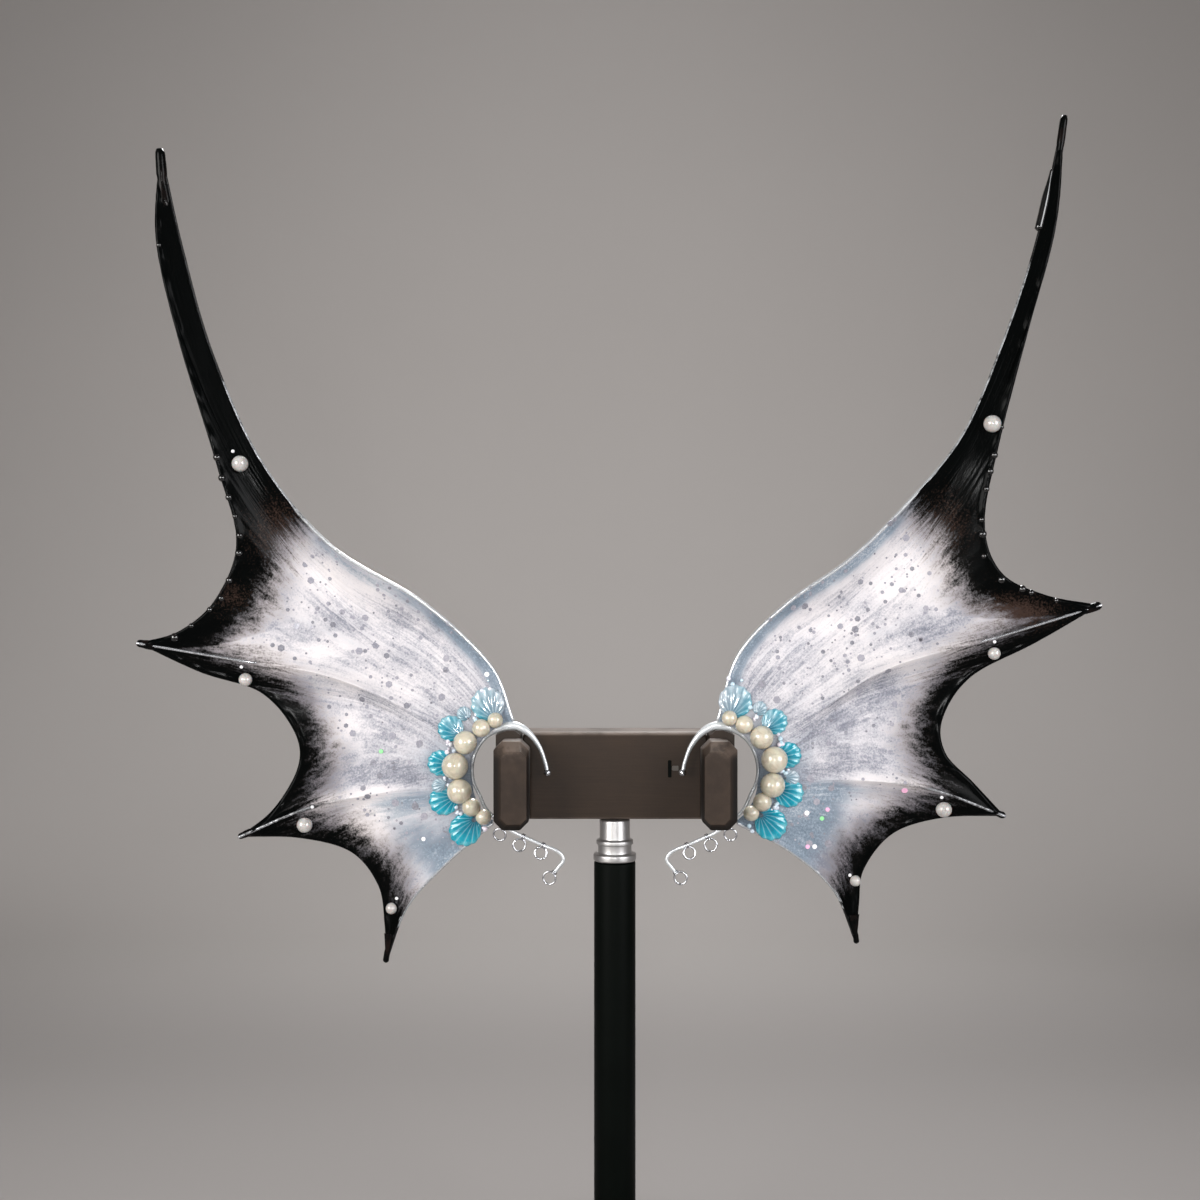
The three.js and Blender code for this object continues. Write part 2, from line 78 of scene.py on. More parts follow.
# Each fin has four ribs from root to tip and three webs between them. A web's band is how far its
# black edge reaches inwards, from the tip above it to the tip below it. The spikes' pearls are given
# by name, place and radius, and soft spots of white, pale and rusty paint by place, half width, half
# height and strength; the white spots that lie just above the upper ridge are a painted highlight of
# that ridge. The values that grey the white paint web by web are a painted shade on the middle and
# lower webs. The sheath's ends, the crest tip's waist and the places where the crest's wire
# turns patchy and black are shares of a length.
FINS = {
    "left": {
        "ribs": [
            {"name": "crest", "lean": -9, "path": [
                (1.2, 14.6), (8.3, 31.6), (28.3, 50.3), (55.6, 67.2),
                (76.3, 92.3), (90.2, 123.8), (98.3, 153.6), (104.4, 183.4)]},
            {"name": "upper", "lean": -4, "path": [
                (12.8, 6.8), (37, 20.3), (58, 28.8), (81.5, 32.8), (112.5, 38.2)]},
            {"name": "middle", "lean": 1, "path": [
                (14.1, -3.2), (41.4, -6.9), (62, -11.2), (83.6, -20.2)]},
            {"name": "lower", "lean": 4, "path": [
                (7.4, -15.9), (21, -27.6), (33.2, -41.2), (40, -58.6)]},
        ],
        "webs": [
            {"sag": 7, "band": [16, 16, 17, 16, 12, 11, 10], "edge": [
                (105.8, 157.5), (99.6, 128.4), (88.5, 91), (83.1, 68.4), (89.4, 51.4), (100, 41.9)]},
            {"sag": 5, "band": [9, 8, 6.5, 6.5, 8, 9], "edge": [
                (94.2, 29.3), (77.1, 23.2), (67.4, 11.8), (66, 1.2), (73.3, -11.7)]},
            {"sag": 4, "band": [9, 6.5, 5.5, 8, 16], "edge": [
                (65.8, -21), (50.6, -25.4), (42.5, -35.3), (40.5, -46.8)]},
        ],
        "spike_pearls": [
            ("crest", 82.2, 91.4, 2.45),
            ("upper", 80.9, 27.4, 2.0),
            ("middle", 64.1, -15.8, 2.35),
            ("lower", 37.6, -42, 1.75),
        ],
        "turn": 0,
        "thin": (0.0, 0.1, 0.15, 0.0),
        "pale": [(24, -14, 11, 7, 0.75)],
        "pale_crest": 0.5,
        "rust": [(72, 72, 9, 11, 0.7), (84, 52, 8, 6, 0.5)],
        "tips": (1.5, 1.3, 1.0, 0.9),
        "waist": (0.66, 0.1),
        "sheath": [],
        "lumps": [(104.9, 155.6, 0.8)],
        "wire_black": (0.4, 0.68),
        "white": [
            (52, 56, 17, 9, 0.75), (62, 36, 22, 5, 0.8), (46, 27, 14, 5, 0.55), (52, 12, 12, 9, 0.55),
            (40, -12, 10, 5, 0.9), (46, -18, 9, 5, 1.0)],
        "micro": [(84.2, 95.1), (82.2, 31.1), (61.2, -11.1), (36.4, -39.2)],
        "sparkles": [(41.1, 5.7, "green"), (28.2, -20.4, "white"), (8.4, 28.2, "white")],
        "seed": 11,
    },
    "right": {
        "ribs": [
            {"name": "crest", "lean": -5, "path": [
                (1.4, 14.6), (7.8, 34.6), (22.2, 49.9), (41.4, 63.5), (58.7, 80.5),
                (74.5, 100), (86.2, 127), (96.1, 157.8), (103.8, 194.6)]},
            {"name": "upper", "lean": -3, "path": [
                (12.6, 7.1), (31.5, 17.7), (53, 30.8), (84.6, 39.9), (115.2, 49.5)]},
            {"name": "middle", "lean": 1.5, "path": [
                (14.1, -3.2), (42.3, -3), (65.1, -5.7), (87.9, -14)]},
            {"name": "lower", "lean": 4, "path": [
                (7.4, -15.9), (23.2, -24.3), (36.5, -36.2), (43.8, -52.8)]},
        ],
        "webs": [
            {"sag": 7, "band": [16, 16, 17, 15, 12, 11, 10], "edge": [
                (101.6, 163), (93.5, 131.7), (85.4, 100.1), (80.8, 75), (85.6, 59.6), (98.7, 52.6)]},
            {"sag": 5, "band": [9, 8, 7, 7, 8, 9], "edge": [
                (96.4, 38.2), (77.9, 27.9), (69.5, 15.3), (70.4, 4.8), (78.7, -4)]},
            {"sag": 4, "band": [9, 6.5, 5.5, 8, 16], "edge": [
                (70.1, -14.9), (55.2, -19.7), (46.3, -30.4), (44.7, -41)]},
        ],
        "spike_pearls": [
            ("crest", 82.9, 103.5, 2.6),
            ("upper", 83.8, 35.3, 1.9),
            ("middle", 69.7, -11.3, 2.4),
            ("lower", 42.8, -34, 1.7),
        ],
        "turn": 6,
        "thin": (0.0, 0.25, 0.3, 0.35),
        "pale": [],
        "pale_crest": 0.0,
        "rust": [(88, 47, 15, 5, 1.1), (70, 74, 9, 11, 0.6)],
        "tips": (1.15, 1.3, 1.0, 0.9),
        "waist": (0.27, 0.12),
        "sheath": [(0.842, 0.925, 1.15)],
        "lumps": [],
        "wire_black": (0.45, 0.81),
        "white": [
            (60, 58, 15, 9, 1.0), (55, 33, 20, 5, 0.7), (36, 44, 14, 5, 0.8), (54, 11, 13, 11, 0.4),
            (47, -11, 9, 4, 0.7)],
        "micro": [(83.9, 38.6), (68.6, -7.9), (41.5, -32.0)],
        "sparkles": [
            (28.2, -12.6, "white"), (32.7, -14.4, "green"), (34.5, -12.0, "pink"),
            (28.1, -23.0, "pink"), (30.5, -23.0, "white"), (57.5, -6.3, "pink")],
        "seed": 23,
    },
}
# What is added to a fin's seed for each of its random parts
SEED_STEPS = {"brush": 1, "drops": 3, "scatter": 5}

# Film: distances from the cuff between which it begins to lean and its sag fades, its grid, and
# the bead, ridges and brush marks raised on it. A pair of numbers is where a change starts and ends.
RELIEF = Sizes(lean=(27, 60), taut=(80, 125), edge_slack=0.45, root_inset=0.7, root_share=0.03)
FILM = Sizes(columns=(110, 80, 64), rows=96, edge_rows=8, edge_zone=2.5, half=0.55, round=0.8)
WEB_WIDTHS = (70, 32, 27)
# Places across the webs at which each fin's painted shade of the white paint is given
WEB_MIDDLES = (0.7, 1.15, 1.85, 2.2)
BEAD = Sizes(height=0.32, inset=0.9, width=0.8, pitch=2.6, run=400, mean=0.6, swing=0.9, behind=0.5)
RIDGE = Sizes(
    inner=0.4, outer=0.6, width=2.0, soft=0.5, bare=(0.63, 0.75), rise=(0.12, 0.3), edge=(0, 1.2))
BRUSH = Sizes(height=0.05, pitch=0.9, rise=(30, 50), edge=(0, 3))
# Paint by distance from the crest or the cuff, by web counted from the crest, or by share of a rib.
# The ridge values give a painted highlight along the ridges, by share of a rib and by width.
PAINT = Sizes(
    tip_web=0.9, tip_from=99,
    crest_width=(1.2, 5.5), crest_end=(85, 125), pale_crest=(38, 70),
    lower_web=(1.9, 2.25), lower_reach=(33, 50),
    inner=0.75, inner_web=(0.9, 1.9), inner_reach=(19, 36),
    root=0.5, root_reach=(17, 25),
    ridge=0.9, ridge_rise=(0.25, 0.42), ridge_fall=(0.58, 0.74), ridge_width=2.2)

# Wires on the fins, and the resin on their edges and tips
RIB_WIRES = {"upper": 0.15, "middle": 0.36}
RIB_WIRE = Sizes(
    radius=0.4, sunk=-0.2, out=-0.95, bare=(0.61, 0.73), start=4 / 15, steps=90, resin=0.1)
BORDER = Sizes(
    radius=0.6, taper=0.25, wobble=0.06, run=90, pitch=2.0, steps=160, resin=0.5,
    patchy=0.32, patchy_span=(-0.06, 0.08), painted_span=(-0.03, 0.03))
LOWER_WIRE_BLACK = (0.62, 0.8)
TIP = Sizes(
    length=(28, 18, 14, 9), steps=28, swell=(-0.1, 0.8), wobble=0.1, pitch=2.5, waist=0.07,
    end=(0.94, 1.06))
SHEATH = Sizes(offset=(0.45, 0), steps=24, least=0.35, taper=(1, 0.45))
DROPS = Sizes(
    from_to=(0.55, 0.93), count=11, shift=0.012, inset=(0.6, 2.2), radius=(0.8, 1.4),
    sunk=0.6, back=0.2, grid=(20, 16))
LUMP_GRID = (18, 14)

# Pearls round the cuff by angle, distance and radius, and the shells behind them by angle,
# distance of the middle, size, and how clear they are at their upper and lower sides
CUFF_PEARLS = [
    (67.0, 16.4, 2.35), (50.3, 16.6, 2.75), (28.9, 17.5, 3.55), (4.5, 18.4, 4.0),
    (-19.6, 18.1, 3.75), (-38.6, 17.3, 2.85), (-54.3, 17.0, 2.4),
]
PEARL_BACK = -0.6
PEARL_SEAT = -0.9
PEARL_CUT = 0.4
SPIKE_PEARL = Sizes(lift=0.55, back=0.6)
SHELL = Sizes(
    spread=80, flutes=10, steps=6, rows=14, crown=1.5, rim=0.45, depth=0.1,
    hinge=0.14, scallop=0.02, fall=2.2, droop=0.35, back=0.05, groove=3, sharp=50)
SHELLS = [
    {"angle": 66.3, "at": 21.6, "size": 10.0, "clear": (1.15, 0.2)},
    {"angle": 32.4, "at": 23.4, "size": 7.8, "clear": (0.55, 0.15)},
    {"angle": 5.5, "at": 22.9, "size": 7.8, "clear": (0.3, 0.1)},
    {"angle": -22.5, "at": 23.6, "size": 8.8, "clear": (0.35, 0.0)},
    {"angle": -49.1, "at": 23.6, "size": 9.6, "clear": (0.1, 0.05)},
]
LOBES = [
    {"angle": 47, "at": 23.2, "size": 4.4, "clear": (0.8, 0.55)},
    {"angle": -11.5, "at": 23.6, "size": 4.8, "clear": (0.8, 0.6)},
]

# Loose decoration: hexagonal glitter by count and radius, beads in the gaps between the shells by
# angle, distance and count, and foil dots with tiny beads
GLITTER = [(170, 0.22, 0.4), (80, 0.45, 0.75), (26, 0.9, 1.25)]
GLITTER_AREA = Sizes(out=(12, 92), up=(-24, 84), off_black=6, off_cuff=27, off_grid=1.0)
FLAKE = Sizes(thickness=0.12, sides=6)
CLEAR_BEADS = [
    (71, 27, 3), (49, 20.6, 6), (19, 20.8, 6), (-8.5, 21.2, 6), (-36, 21.2, 6), (-63, 20.4, 3)]
CLEAR_BEAD = Sizes(spread=5.0, depth=1.6, radius=(0.4, 0.8), lift=0.7)
FOIL = Sizes(radius=(0.65, 1.0), thickness=0.2, sides=10)
MICROBEAD = Sizes(radius=0.55, lift=0.3, back=0.7)
SMALL_GRID = (14, 10)
SPARKLE_TONES = {"white": 0.0, "green": 1 / 3, "pink": 2 / 3}

# Stand: how far a pad's front face is set in from its sides, the plate's chamfer, the dark strip and
# grey block on the plate, a painted shadow and a painted reflection of the right hook's ball end, by
# left, right, bottom, top and height, and the neck's steps by radius and height from the pole up
PAD_FACE = Sizes(inner=0.9, outer=2.7, bottom=2.4, top=3.2, depth=2.4, cut=1.4)
PAD = Sizes(back=1.0, cut=2.6, back_cut=2.0, ease=0.3)
PLATE = Sizes(chamfer=0.7, cut=1.2, ease=0.25)
PLATE_PAINTED_LIGHT = [
    ("plate_slot", "stand_black", "stand_black", 16.0, 17.1, 159.4, 164.6, 0.03),
    ("plate_peg", "peg_grey", "clamp_brown", 17.3, 19.2, 161.5, 162.9, 0.5),
]
PLATE_PAINTED_LIGHT_SUNK = 0.3
PLATE_PAINTED_LIGHT_CUT = 0.2
ARM_BEVEL = Sizes(width=0.5, segments=2)
BASE = Sizes(foot=0.6, rim=2, ease=1.0)
COLLAR = [(6.5, 2.2), (5.1, 2.8), (5.6, 1.4)]
NECK_RADIUS = 4.6
POLE_EASE = 0.5
# Heights and depths between which the plate's edges and the pads' tops get a patchy painted highlight and
# the pads' sides a painted shade
PLATE_EDGE_HIGHLIGHT = Sizes(top=(171.95, 172.45), foot=(147.4, 147.0))
PAD_HIGHLIGHT_SHADE = Sizes(top=(165.5, 170.5), side=(-21.9, -20.5))

# Studio, in metres: the sweep, lamps by place, target, size, watts, tone and spread in degrees,
# lamps that only light the floor, the world and the camera
SWEEP = Sizes(half=3.0, bend=0.45, radius=0.45, steps=16, top=2.2, drop=0.0004)
FLOOR_DEPTHS = (0.2, 0.62)
MIDDLE = (0, 0, 0.2)
WHITE = (255, 255, 255)
LAMPS = {
    "left": ((-0.68, -0.66, 0.37), MIDDLE, 0.62, 4.0, (255, 253, 250), 125),
    "right": ((0.68, -0.66, 0.37), MIDDLE, 0.62, 3.3, (253, 253, 255), 125),
    "front": ((-0.02, -0.7, 0.26), MIDDLE, 0.08, 1.2, WHITE, 180),
    "rim": ((0.1, 0.55, 1.0), MIDDLE, 0.4, 2.5, WHITE, 70),
    "back": ((0, 0.36, 1.35), (0, 0.68, 0), 0.5, 0.6, WHITE, 75),
}
FLOOR_LAMPS = [(0, -1.9), (-1.9, 0.1), (1.9, 0.1)]
FLOOR_LAMP = Sizes(height=1.5, size=0.8, power=6.0, spread=95)
WORLD = Sizes(tone=(206, 206, 206), strength=0.2)
CAMERA = Sizes(place=(-0.0045, -0.436, 0.213), lens=43, sensor=36)


# Curves and surfaces

class Curve:
    """A smooth curve through given points, read by its share of the length."""

    def __init__(self, points, samples=900):
        given = np.array(points, float)
        held = np.vstack([2 * given[0] - given[1], given, 2 * given[-1] - given[-2]])
        place = np.linspace(0, len(given) - 1, samples)
        first = np.minimum(place.astype(int), len(given) - 2)
        t = (place - first)[:, None]
        a, b, c, d = (held[first + i] for i in range(4))
        cubic = (3 * b - 3 * c + d - a) * t**3 + (2 * a - 5 * b + 4 * c - d) * t**2 + (c - a) * t
        self.points = b + 0.5 * cubic
        steps = np.linalg.norm(np.diff(self.points, axis=0), axis=1)
        self.length = steps.sum()
        self.share = np.concatenate([[0], np.cumsum(steps)]) / self.length
        tangents = np.gradient(self.points, axis=0)
        self.tangents = tangents / np.linalg.norm(tangents, axis=1, keepdims=True)

    def _read(self, table, share):
        return np.stack([np.interp(share, self.share, axis) for axis in table.T], axis=-1)

    def at(self, share):
        return self._read(self.points, share)

    def tangent(self, share):
        return self._read(self.tangents, share)


def rise(span, x):
    """From 0 where a span starts to 1 where it ends, smoothly."""
    t = np.clip((x - span[0]) / (span[1] - span[0]), 0, 1)
    return t * t * (3 - 2 * t)


def fall(span, x):
    return 1 - rise(span, x)


def between(t, start, end):
    return start + (end - start) * t


def bell(x):
    return np.exp(-(x**2))


def wander(x, pitch, seed, knots=512):
    """A smooth random line from -1 to 1 that changes about once a pitch."""
    heights = np.random.default_rng(seed).uniform(-1, 1, knots)
    place = np.asarray(x) / pitch
    first = np.floor(place).astype(int)
    t = rise((0, 1), place - first)
    return heights[first % knots] * (1 - t) + heights[(first + 1) % knots] * t


def nearest(points, line, batch=2048):
    """How far each point is from a line of points, and which of them is nearest."""
    distance = np.empty(len(points))
    which = np.empty(len(points), int)
    for start in range(0, len(points), batch):
        part = slice(start, start + batch)
        gaps = np.linalg.norm(points[part, None, :] - line[None, :, :], axis=2)
        which[part] = gaps.argmin(axis=1)
        distance[part] = gaps.min(axis=1)
    return distance, which


def polar(angle, radius):
    return radius * math.cos(math.radians(angle)), radius * math.sin(math.radians(angle))


def spot(place, depth):
    """Places out and up, at a depth, as points of the frame."""
    place = np.asarray(place, float)
    return np.stack([place[..., 0], np.broadcast_to(depth, place.shape[:-1]), place[..., 1]], axis=-1)


class Fin:
    """One fin's film as a grid of columns from the crest down, each from the cuff to the free edge."""

    def __init__(self, side):
        self.side = side
        self.spec = FINS[side]
        self.ribs = [Curve(rib["path"]) for rib in self.spec["ribs"]]
        tips = [rib.at(1.0) for rib in self.ribs]
        self.edges = [
            Curve([tips[k], *web["edge"], tips[k + 1]]) for k, web in enumerate(self.spec["webs"])
        ]
        self._lay_out()
        self._measure()
        self._raise()

    def seed(self, part):
        return self.spec["seed"] + SEED_STEPS[part]

    def _inner(self, k, u):
        """The film's edge along the cuff, from one rib's root to the next."""
        roots = [self.ribs[i].at(0.0) for i in (k, k + 1)]
        angle = between(u, *(math.atan2(root[1], root[0]) for root in roots))
        radius = between(u, *(np.hypot(*root) for root in roots)) - RELIEF.root_inset
        return np.stack([radius * np.cos(angle), radius * np.sin(angle)], axis=-1)

    def _web(self, k, u, v):
        """A patch between two ribs, the cuff and a free edge, with its ribs' lean and its own sag."""
        left, right = self.ribs[k].at(v), self.ribs[k + 1].at(v)
        near, far = self._inner(k, u), self.edges[k].at(u)
        near_ends = self._inner(k, np.zeros(1)), self._inner(k, np.ones(1))
        root = np.exp(-v / RELIEF.root_share)[..., None]
        left += (near_ends[0] - self.ribs[k].at(0.0)) * root
        right += (near_ends[1] - self.ribs[k + 1].at(0.0)) * root
        far_ends = self.ribs[k].at(1.0), self.ribs[k + 1].at(1.0)
        a, b = u[..., None], v[..., None]
        flat = (1 - a) * left + a * right + (1 - b) * near + b * far
        flat -= (1 - b) * ((1 - a) * near_ends[0] + a * near_ends[1])
        flat -= b * ((1 - a) * far_ends[0] + a * far_ends[1])
        leans = [self.spec["ribs"][i]["lean"] * v * v for i in (k, k + 1)]
        away = np.hypot(flat[..., 0], flat[..., 1])
        slack = 4 * u * (1 - u) * (1 - RELIEF.edge_slack * v * v) * fall(RELIEF.taut, away)
        hollow = self.spec["webs"][k]["sag"] * slack
        return flat, (leans[0] * (1 - u) + leans[1] * u + hollow) * rise(RELIEF.lean, away)

    def _lay_out(self):
        webs = []
        for k, count in enumerate(FILM.columns):
            u = np.linspace(0, 1, count + 1)[0 if k == 0 else 1:, None]
            reach = np.linalg.norm(self.edges[k].at(u) - self._inner(k, u), axis=-1)
            zone = FILM.edge_zone / reach
            main = np.linspace(0, 1, FILM.rows, endpoint=False)[None, :] * (1 - zone)
            ends = np.sin(np.linspace(0, math.pi / 2, FILM.edge_rows + 1))[None, :]
            v = np.concatenate([main, 1 - zone * (1 - ends)], axis=1)
            flat, depth = self._web(k, np.broadcast_to(u, v.shape), v)
            across = np.broadcast_to(sum(WEB_WIDTHS[:k]) + u * WEB_WIDTHS[k], v.shape)
            ray = np.stack([across, (v - 1) * reach, np.zeros(v.shape)], axis=-1)
            webs.append((flat, depth, ray, np.broadcast_to(k + u, v.shape)))
        self.flat, self.depth, self.ray, self.web = (np.concatenate(parts) for parts in zip(*webs))
        self.shape = self.depth.shape

    def _measure(self):
        """Distances in mm to the free edges, the ridges, the crest wire and the cuff."""
        flat = self.flat.reshape(-1, 2)
        self.edge_gap = np.full(len(flat), np.inf)
        self.band = np.zeros(len(flat))
        self.edge_run = np.zeros(len(flat))
        for k, edge in enumerate(self.edges):
            gap, which = nearest(flat, edge.points)
            closer = gap < self.edge_gap
            share = edge.share[which]
            band = self.spec["webs"][k]["band"]
            width = np.interp(share, np.linspace(0, 1, len(band)), band)
            self.band = np.where(closer, width, self.band)
            self.edge_run = np.where(closer, share * edge.length + BEAD.run * k, self.edge_run)
            self.edge_gap = np.minimum(gap, self.edge_gap)
        self.edge_gap.reshape(self.shape)[:, -1] = 0
        self.ridge_gap, self.ridge_share = np.full(len(flat), np.inf), np.zeros(len(flat))
        for rib in self.ribs[1:3]:
            gap, which = nearest(flat, rib.points)
            self.ridge_share = np.where(gap < self.ridge_gap, rib.share[which], self.ridge_share)
            self.ridge_gap = np.minimum(gap, self.ridge_gap)
        self.crest_gap = nearest(flat, self.ribs[0].points)[0]
        self.cuff_gap = np.hypot(flat[:, 0], flat[:, 1])

    def _raise(self):
        """Front and back points: a rounded free edge with a lumpy bead, and ridges over the ribs."""
        rounding = np.sqrt(1 - np.clip(1 - self.edge_gap / FILM.round, 0, 1) ** 2)
        half = FILM.half * rounding
        lumps = BEAD.mean + BEAD.swing * wander(self.edge_run, BEAD.pitch, self.spec["seed"])
        bead = BEAD.height * lumps * bell((self.edge_gap - BEAD.inset) / BEAD.width) * rounding
        height = between(rise(RIDGE.bare, self.ridge_share), RIDGE.inner, RIDGE.outer)
        height *= rise(RIDGE.rise, self.ridge_share) * rise(RIDGE.edge, self.edge_gap)
        soft = np.sqrt(self.ridge_gap**2 + RIDGE.soft ** 2) - RIDGE.soft
        ridge = height * np.exp(-soft / RIDGE.width)
        brush = BRUSH.height * wander(self.ray[..., 0].ravel(), BRUSH.pitch, self.seed("brush"))
        brush *= rise(BRUSH.rise, self.cuff_gap) * rise(BRUSH.edge, self.edge_gap)
        depth = self.depth.ravel()
        self.front = spot(self.flat, (depth - half - bead - ridge - brush).reshape(self.shape))
        self.back = spot(self.flat, (depth + half + BEAD.behind * bead).reshape(self.shape))

    def _spots(self, name):
        """How strongly each point lies in one of a list of soft spots."""
        out, up = self.flat.reshape(-1, 2).T
        strength = np.zeros(len(out))
        for x, y, wide, tall, gain in self.spec[name]:
            strength = np.maximum(strength, gain * bell((out - x) / wide) * bell((up - y) / tall))
        return strength

    def paint(self):
        """The film's colouring by place: how far into the black it is, and its blue, white and rust; the
        white holds a painted highlight on the ridges and a painted shade on the lower webs.
        """
        web, cuff = self.web.ravel(), self.cuff_gap
        beyond = np.where(web < PAINT.tip_web, cuff - PAINT.tip_from, -np.inf)
        crest = fall(PAINT.crest_width, self.crest_gap) * fall(PAINT.crest_end, cuff)
        crest *= 1 - self.spec["pale_crest"] * rise(PAINT.pale_crest, cuff)
        lower = rise(PAINT.lower_web, web) * fall(PAINT.lower_reach, cuff)
        inner = PAINT.inner * fall(PAINT.inner_reach, cuff) * rise(PAINT.inner_web, web)
        root = PAINT.root * fall(PAINT.root_reach, cuff)
        # A painted highlight along the middle stretch of each ridge
        painted_ridge_highlight = rise(PAINT.ridge_rise, self.ridge_share) * fall(PAINT.ridge_fall, self.ridge_share)
        painted_ridge_highlight *= PAINT.ridge * bell(self.ridge_gap / PAINT.ridge_width)
        white = np.maximum(self._spots("white"), painted_ridge_highlight)
        return {
            "black": np.maximum(self.band - self.edge_gap, beyond),
            "blue": np.maximum.reduce([crest, lower, inner, root]) - self._spots("pale"),
            # Less a painted shade that greys the white paint on the middle and lower webs
            "white": white - np.interp(web, WEB_MIDDLES, self.spec["thin"]),
            "rust": self._spots("rust"),
        }

    def along(self, k, share):
        """Places along a rib, and their depths."""
        place = self.ribs[k].at(share)
        lean = self.spec["ribs"][k]["lean"] * share**2
        return place, lean * rise(RELIEF.lean, np.hypot(place[:, 0], place[:, 1]))

    def cell(self, place):
        """The inner point of the grid that is nearest to a place out and up."""
        gaps = np.linalg.norm(self.flat - np.array(place), axis=-1)
        gaps[[0, -1], :] = np.inf
        gaps[:, [0, -1]] = np.inf
        return np.unravel_index(gaps.argmin(), self.shape)

    def seat(self, cell):
        """A grid point on the film's front, and the way the film faces there."""
        c, r = cell
        points = self.front
        facing = np.cross(points[c + 1, r] - points[c - 1, r], points[c, r + 1] - points[c, r - 1])
        facing /= np.linalg.norm(facing)
        return points[c, r], facing if facing[1] < 0 else -facing

    def made(self, build, name, look, node=None, slot=None, sharp=None):
        """A piece of this ear, which may stand for one of its CAD nodes."""
        nodes = [f"{self.side}_{node}"] if node else []
        build.made(f"{self.side}_{name}", look, nodes, slot, sharp, hand=SIDES[self.side])


# Mesh building

class Build:
    """Points, faces and named values by point, gathered for one piece."""

    def __init__(self):
        self.points = []
        self.faces = []
        self.values = {}
        self.count = 0

    def add(self, points, faces, **values):
        self.points.append(points)
        self.faces += [tuple(int(i) + self.count for i in face) for face in faces]
        for name, value in values.items():
            value = np.full(len(points), float(value)) if np.ndim(value) == 0 else value
            self.values.setdefault(name, []).append(value)
        self.count += len(points)
        return self

    def made(self, name, look, replaces=(), slot=None, sharp=None, ease=0.0, hand=0):
        """The piece itself, in metres in the frame, on the one body; the slot it is given is not used."""
        offset = CUFF if hand else np.zeros(3)
        points = (np.concatenate(self.points) + offset) * np.array([hand or 1, 1, 1]) * MM
        mesh = bpy.data.meshes.new(name)
        mesh.from_pydata(points.tolist(), [], self.faces)
        for key, parts in self.values.items():
            data = np.concatenate(parts)
            kind, field = ("FLOAT", "value") if data.ndim == 1 else ("FLOAT_VECTOR", "vector")
            mesh.attributes.new(key, kind, "POINT").data.foreach_set(field, data.ravel())
        shell = bmesh.new()
        shell.from_mesh(mesh)
        loose = [vert for vert in shell.verts if not vert.link_faces]
        bmesh.ops.delete(shell, geom=loose, context="VERTS")
        if ease:
            edges = list(shell.edges)
            bmesh.ops.bevel(shell, geom=edges, offset=ease * MM, segments=3, profile=0.5, affect="EDGES")
        bmesh.ops.recalc_face_normals(shell, faces=shell.faces)
        shell.to_mesh(mesh)
        shell.free()
        mesh.shade_smooth()
        if sharp:
            mesh.set_sharp_from_angle(angle=math.radians(sharp))
        mesh.materials.append(LOOKS[look])
        piece = bpy.data.objects.new(name, mesh)
        bpy.context.scene.collection.objects.link(piece)
        slot = slot or look
        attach(piece, "root")
        if replaces:
            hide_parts(*replaces)


def woven(grid, round_rows=False, round_columns=False):
    """Faces between neighbours in a grid of point numbers, which may close on itself either way."""
    if round_rows:
        grid = np.vstack([grid, grid[:1]])
    if round_columns:
        grid = np.hstack([grid, grid[:, :1]])
    corners = np.stack([grid[:-1, :-1], grid[:-1, 1:], grid[1:, 1:], grid[1:, :-1]], axis=-1)
    faces = [tuple(dict.fromkeys(face)) for face in corners.reshape(-1, 4).tolist()]
    return [face for face in faces if len(face) > 2]


def skin(rings, closed=False):
    """A solid through rings of points, with flat ends unless it closes on itself."""
    rings = np.asarray(rings, float)
    grid = np.arange(rings.shape[0] * rings.shape[1]).reshape(rings.shape[:2])
    faces = woven(grid, round_rows=closed, round_columns=True)
    return rings.reshape(-1, 3), faces if closed else [*faces, grid[0], grid[-1]]


def sheet(front, back, shared_edge=False):
    """A solid between two grids of points, whose last rows may be one."""
    grid = np.arange(front.shape[0] * front.shape[1]).reshape(front.shape[:2])
    behind = grid + grid.size
    if shared_edge:
        behind[:, -1] = grid[:, -1]
    faces = woven(grid) + woven(behind)
    for rim in (np.s_[0], np.s_[-1], np.s_[:, 0], np.s_[:, -1]):
        faces += woven(np.stack([grid[rim], behind[rim]]))
    return np.concatenate([front.reshape(-1, 3), back.reshape(-1, 3)]), faces


def spanned(facing, steep=0.9):
    """Two directions that are square to a facing one and to each other."""
    side = np.cross(facing, (0.0, 0.0, 1.0) if abs(facing[2]) < steep else (1.0, 0.0, 0.0))
    side /= np.linalg.norm(side)
    return side, np.cross(facing, side)


def wheel(sides, side, other, turn=0.0):
    """Points round a circle of radius 1 that two directions span."""
    turns = turn + np.linspace(0, 2 * math.pi, sides, endpoint=False)[:, None]
    return np.cos(turns) * side + np.sin(turns) * other


# The rounding of a bar's ends: how far out, and the radius there, as shares of its own radius
DOME = np.array([(0.5, 0.35), (0.2, 0.75)])
BAR_SIDES = 14


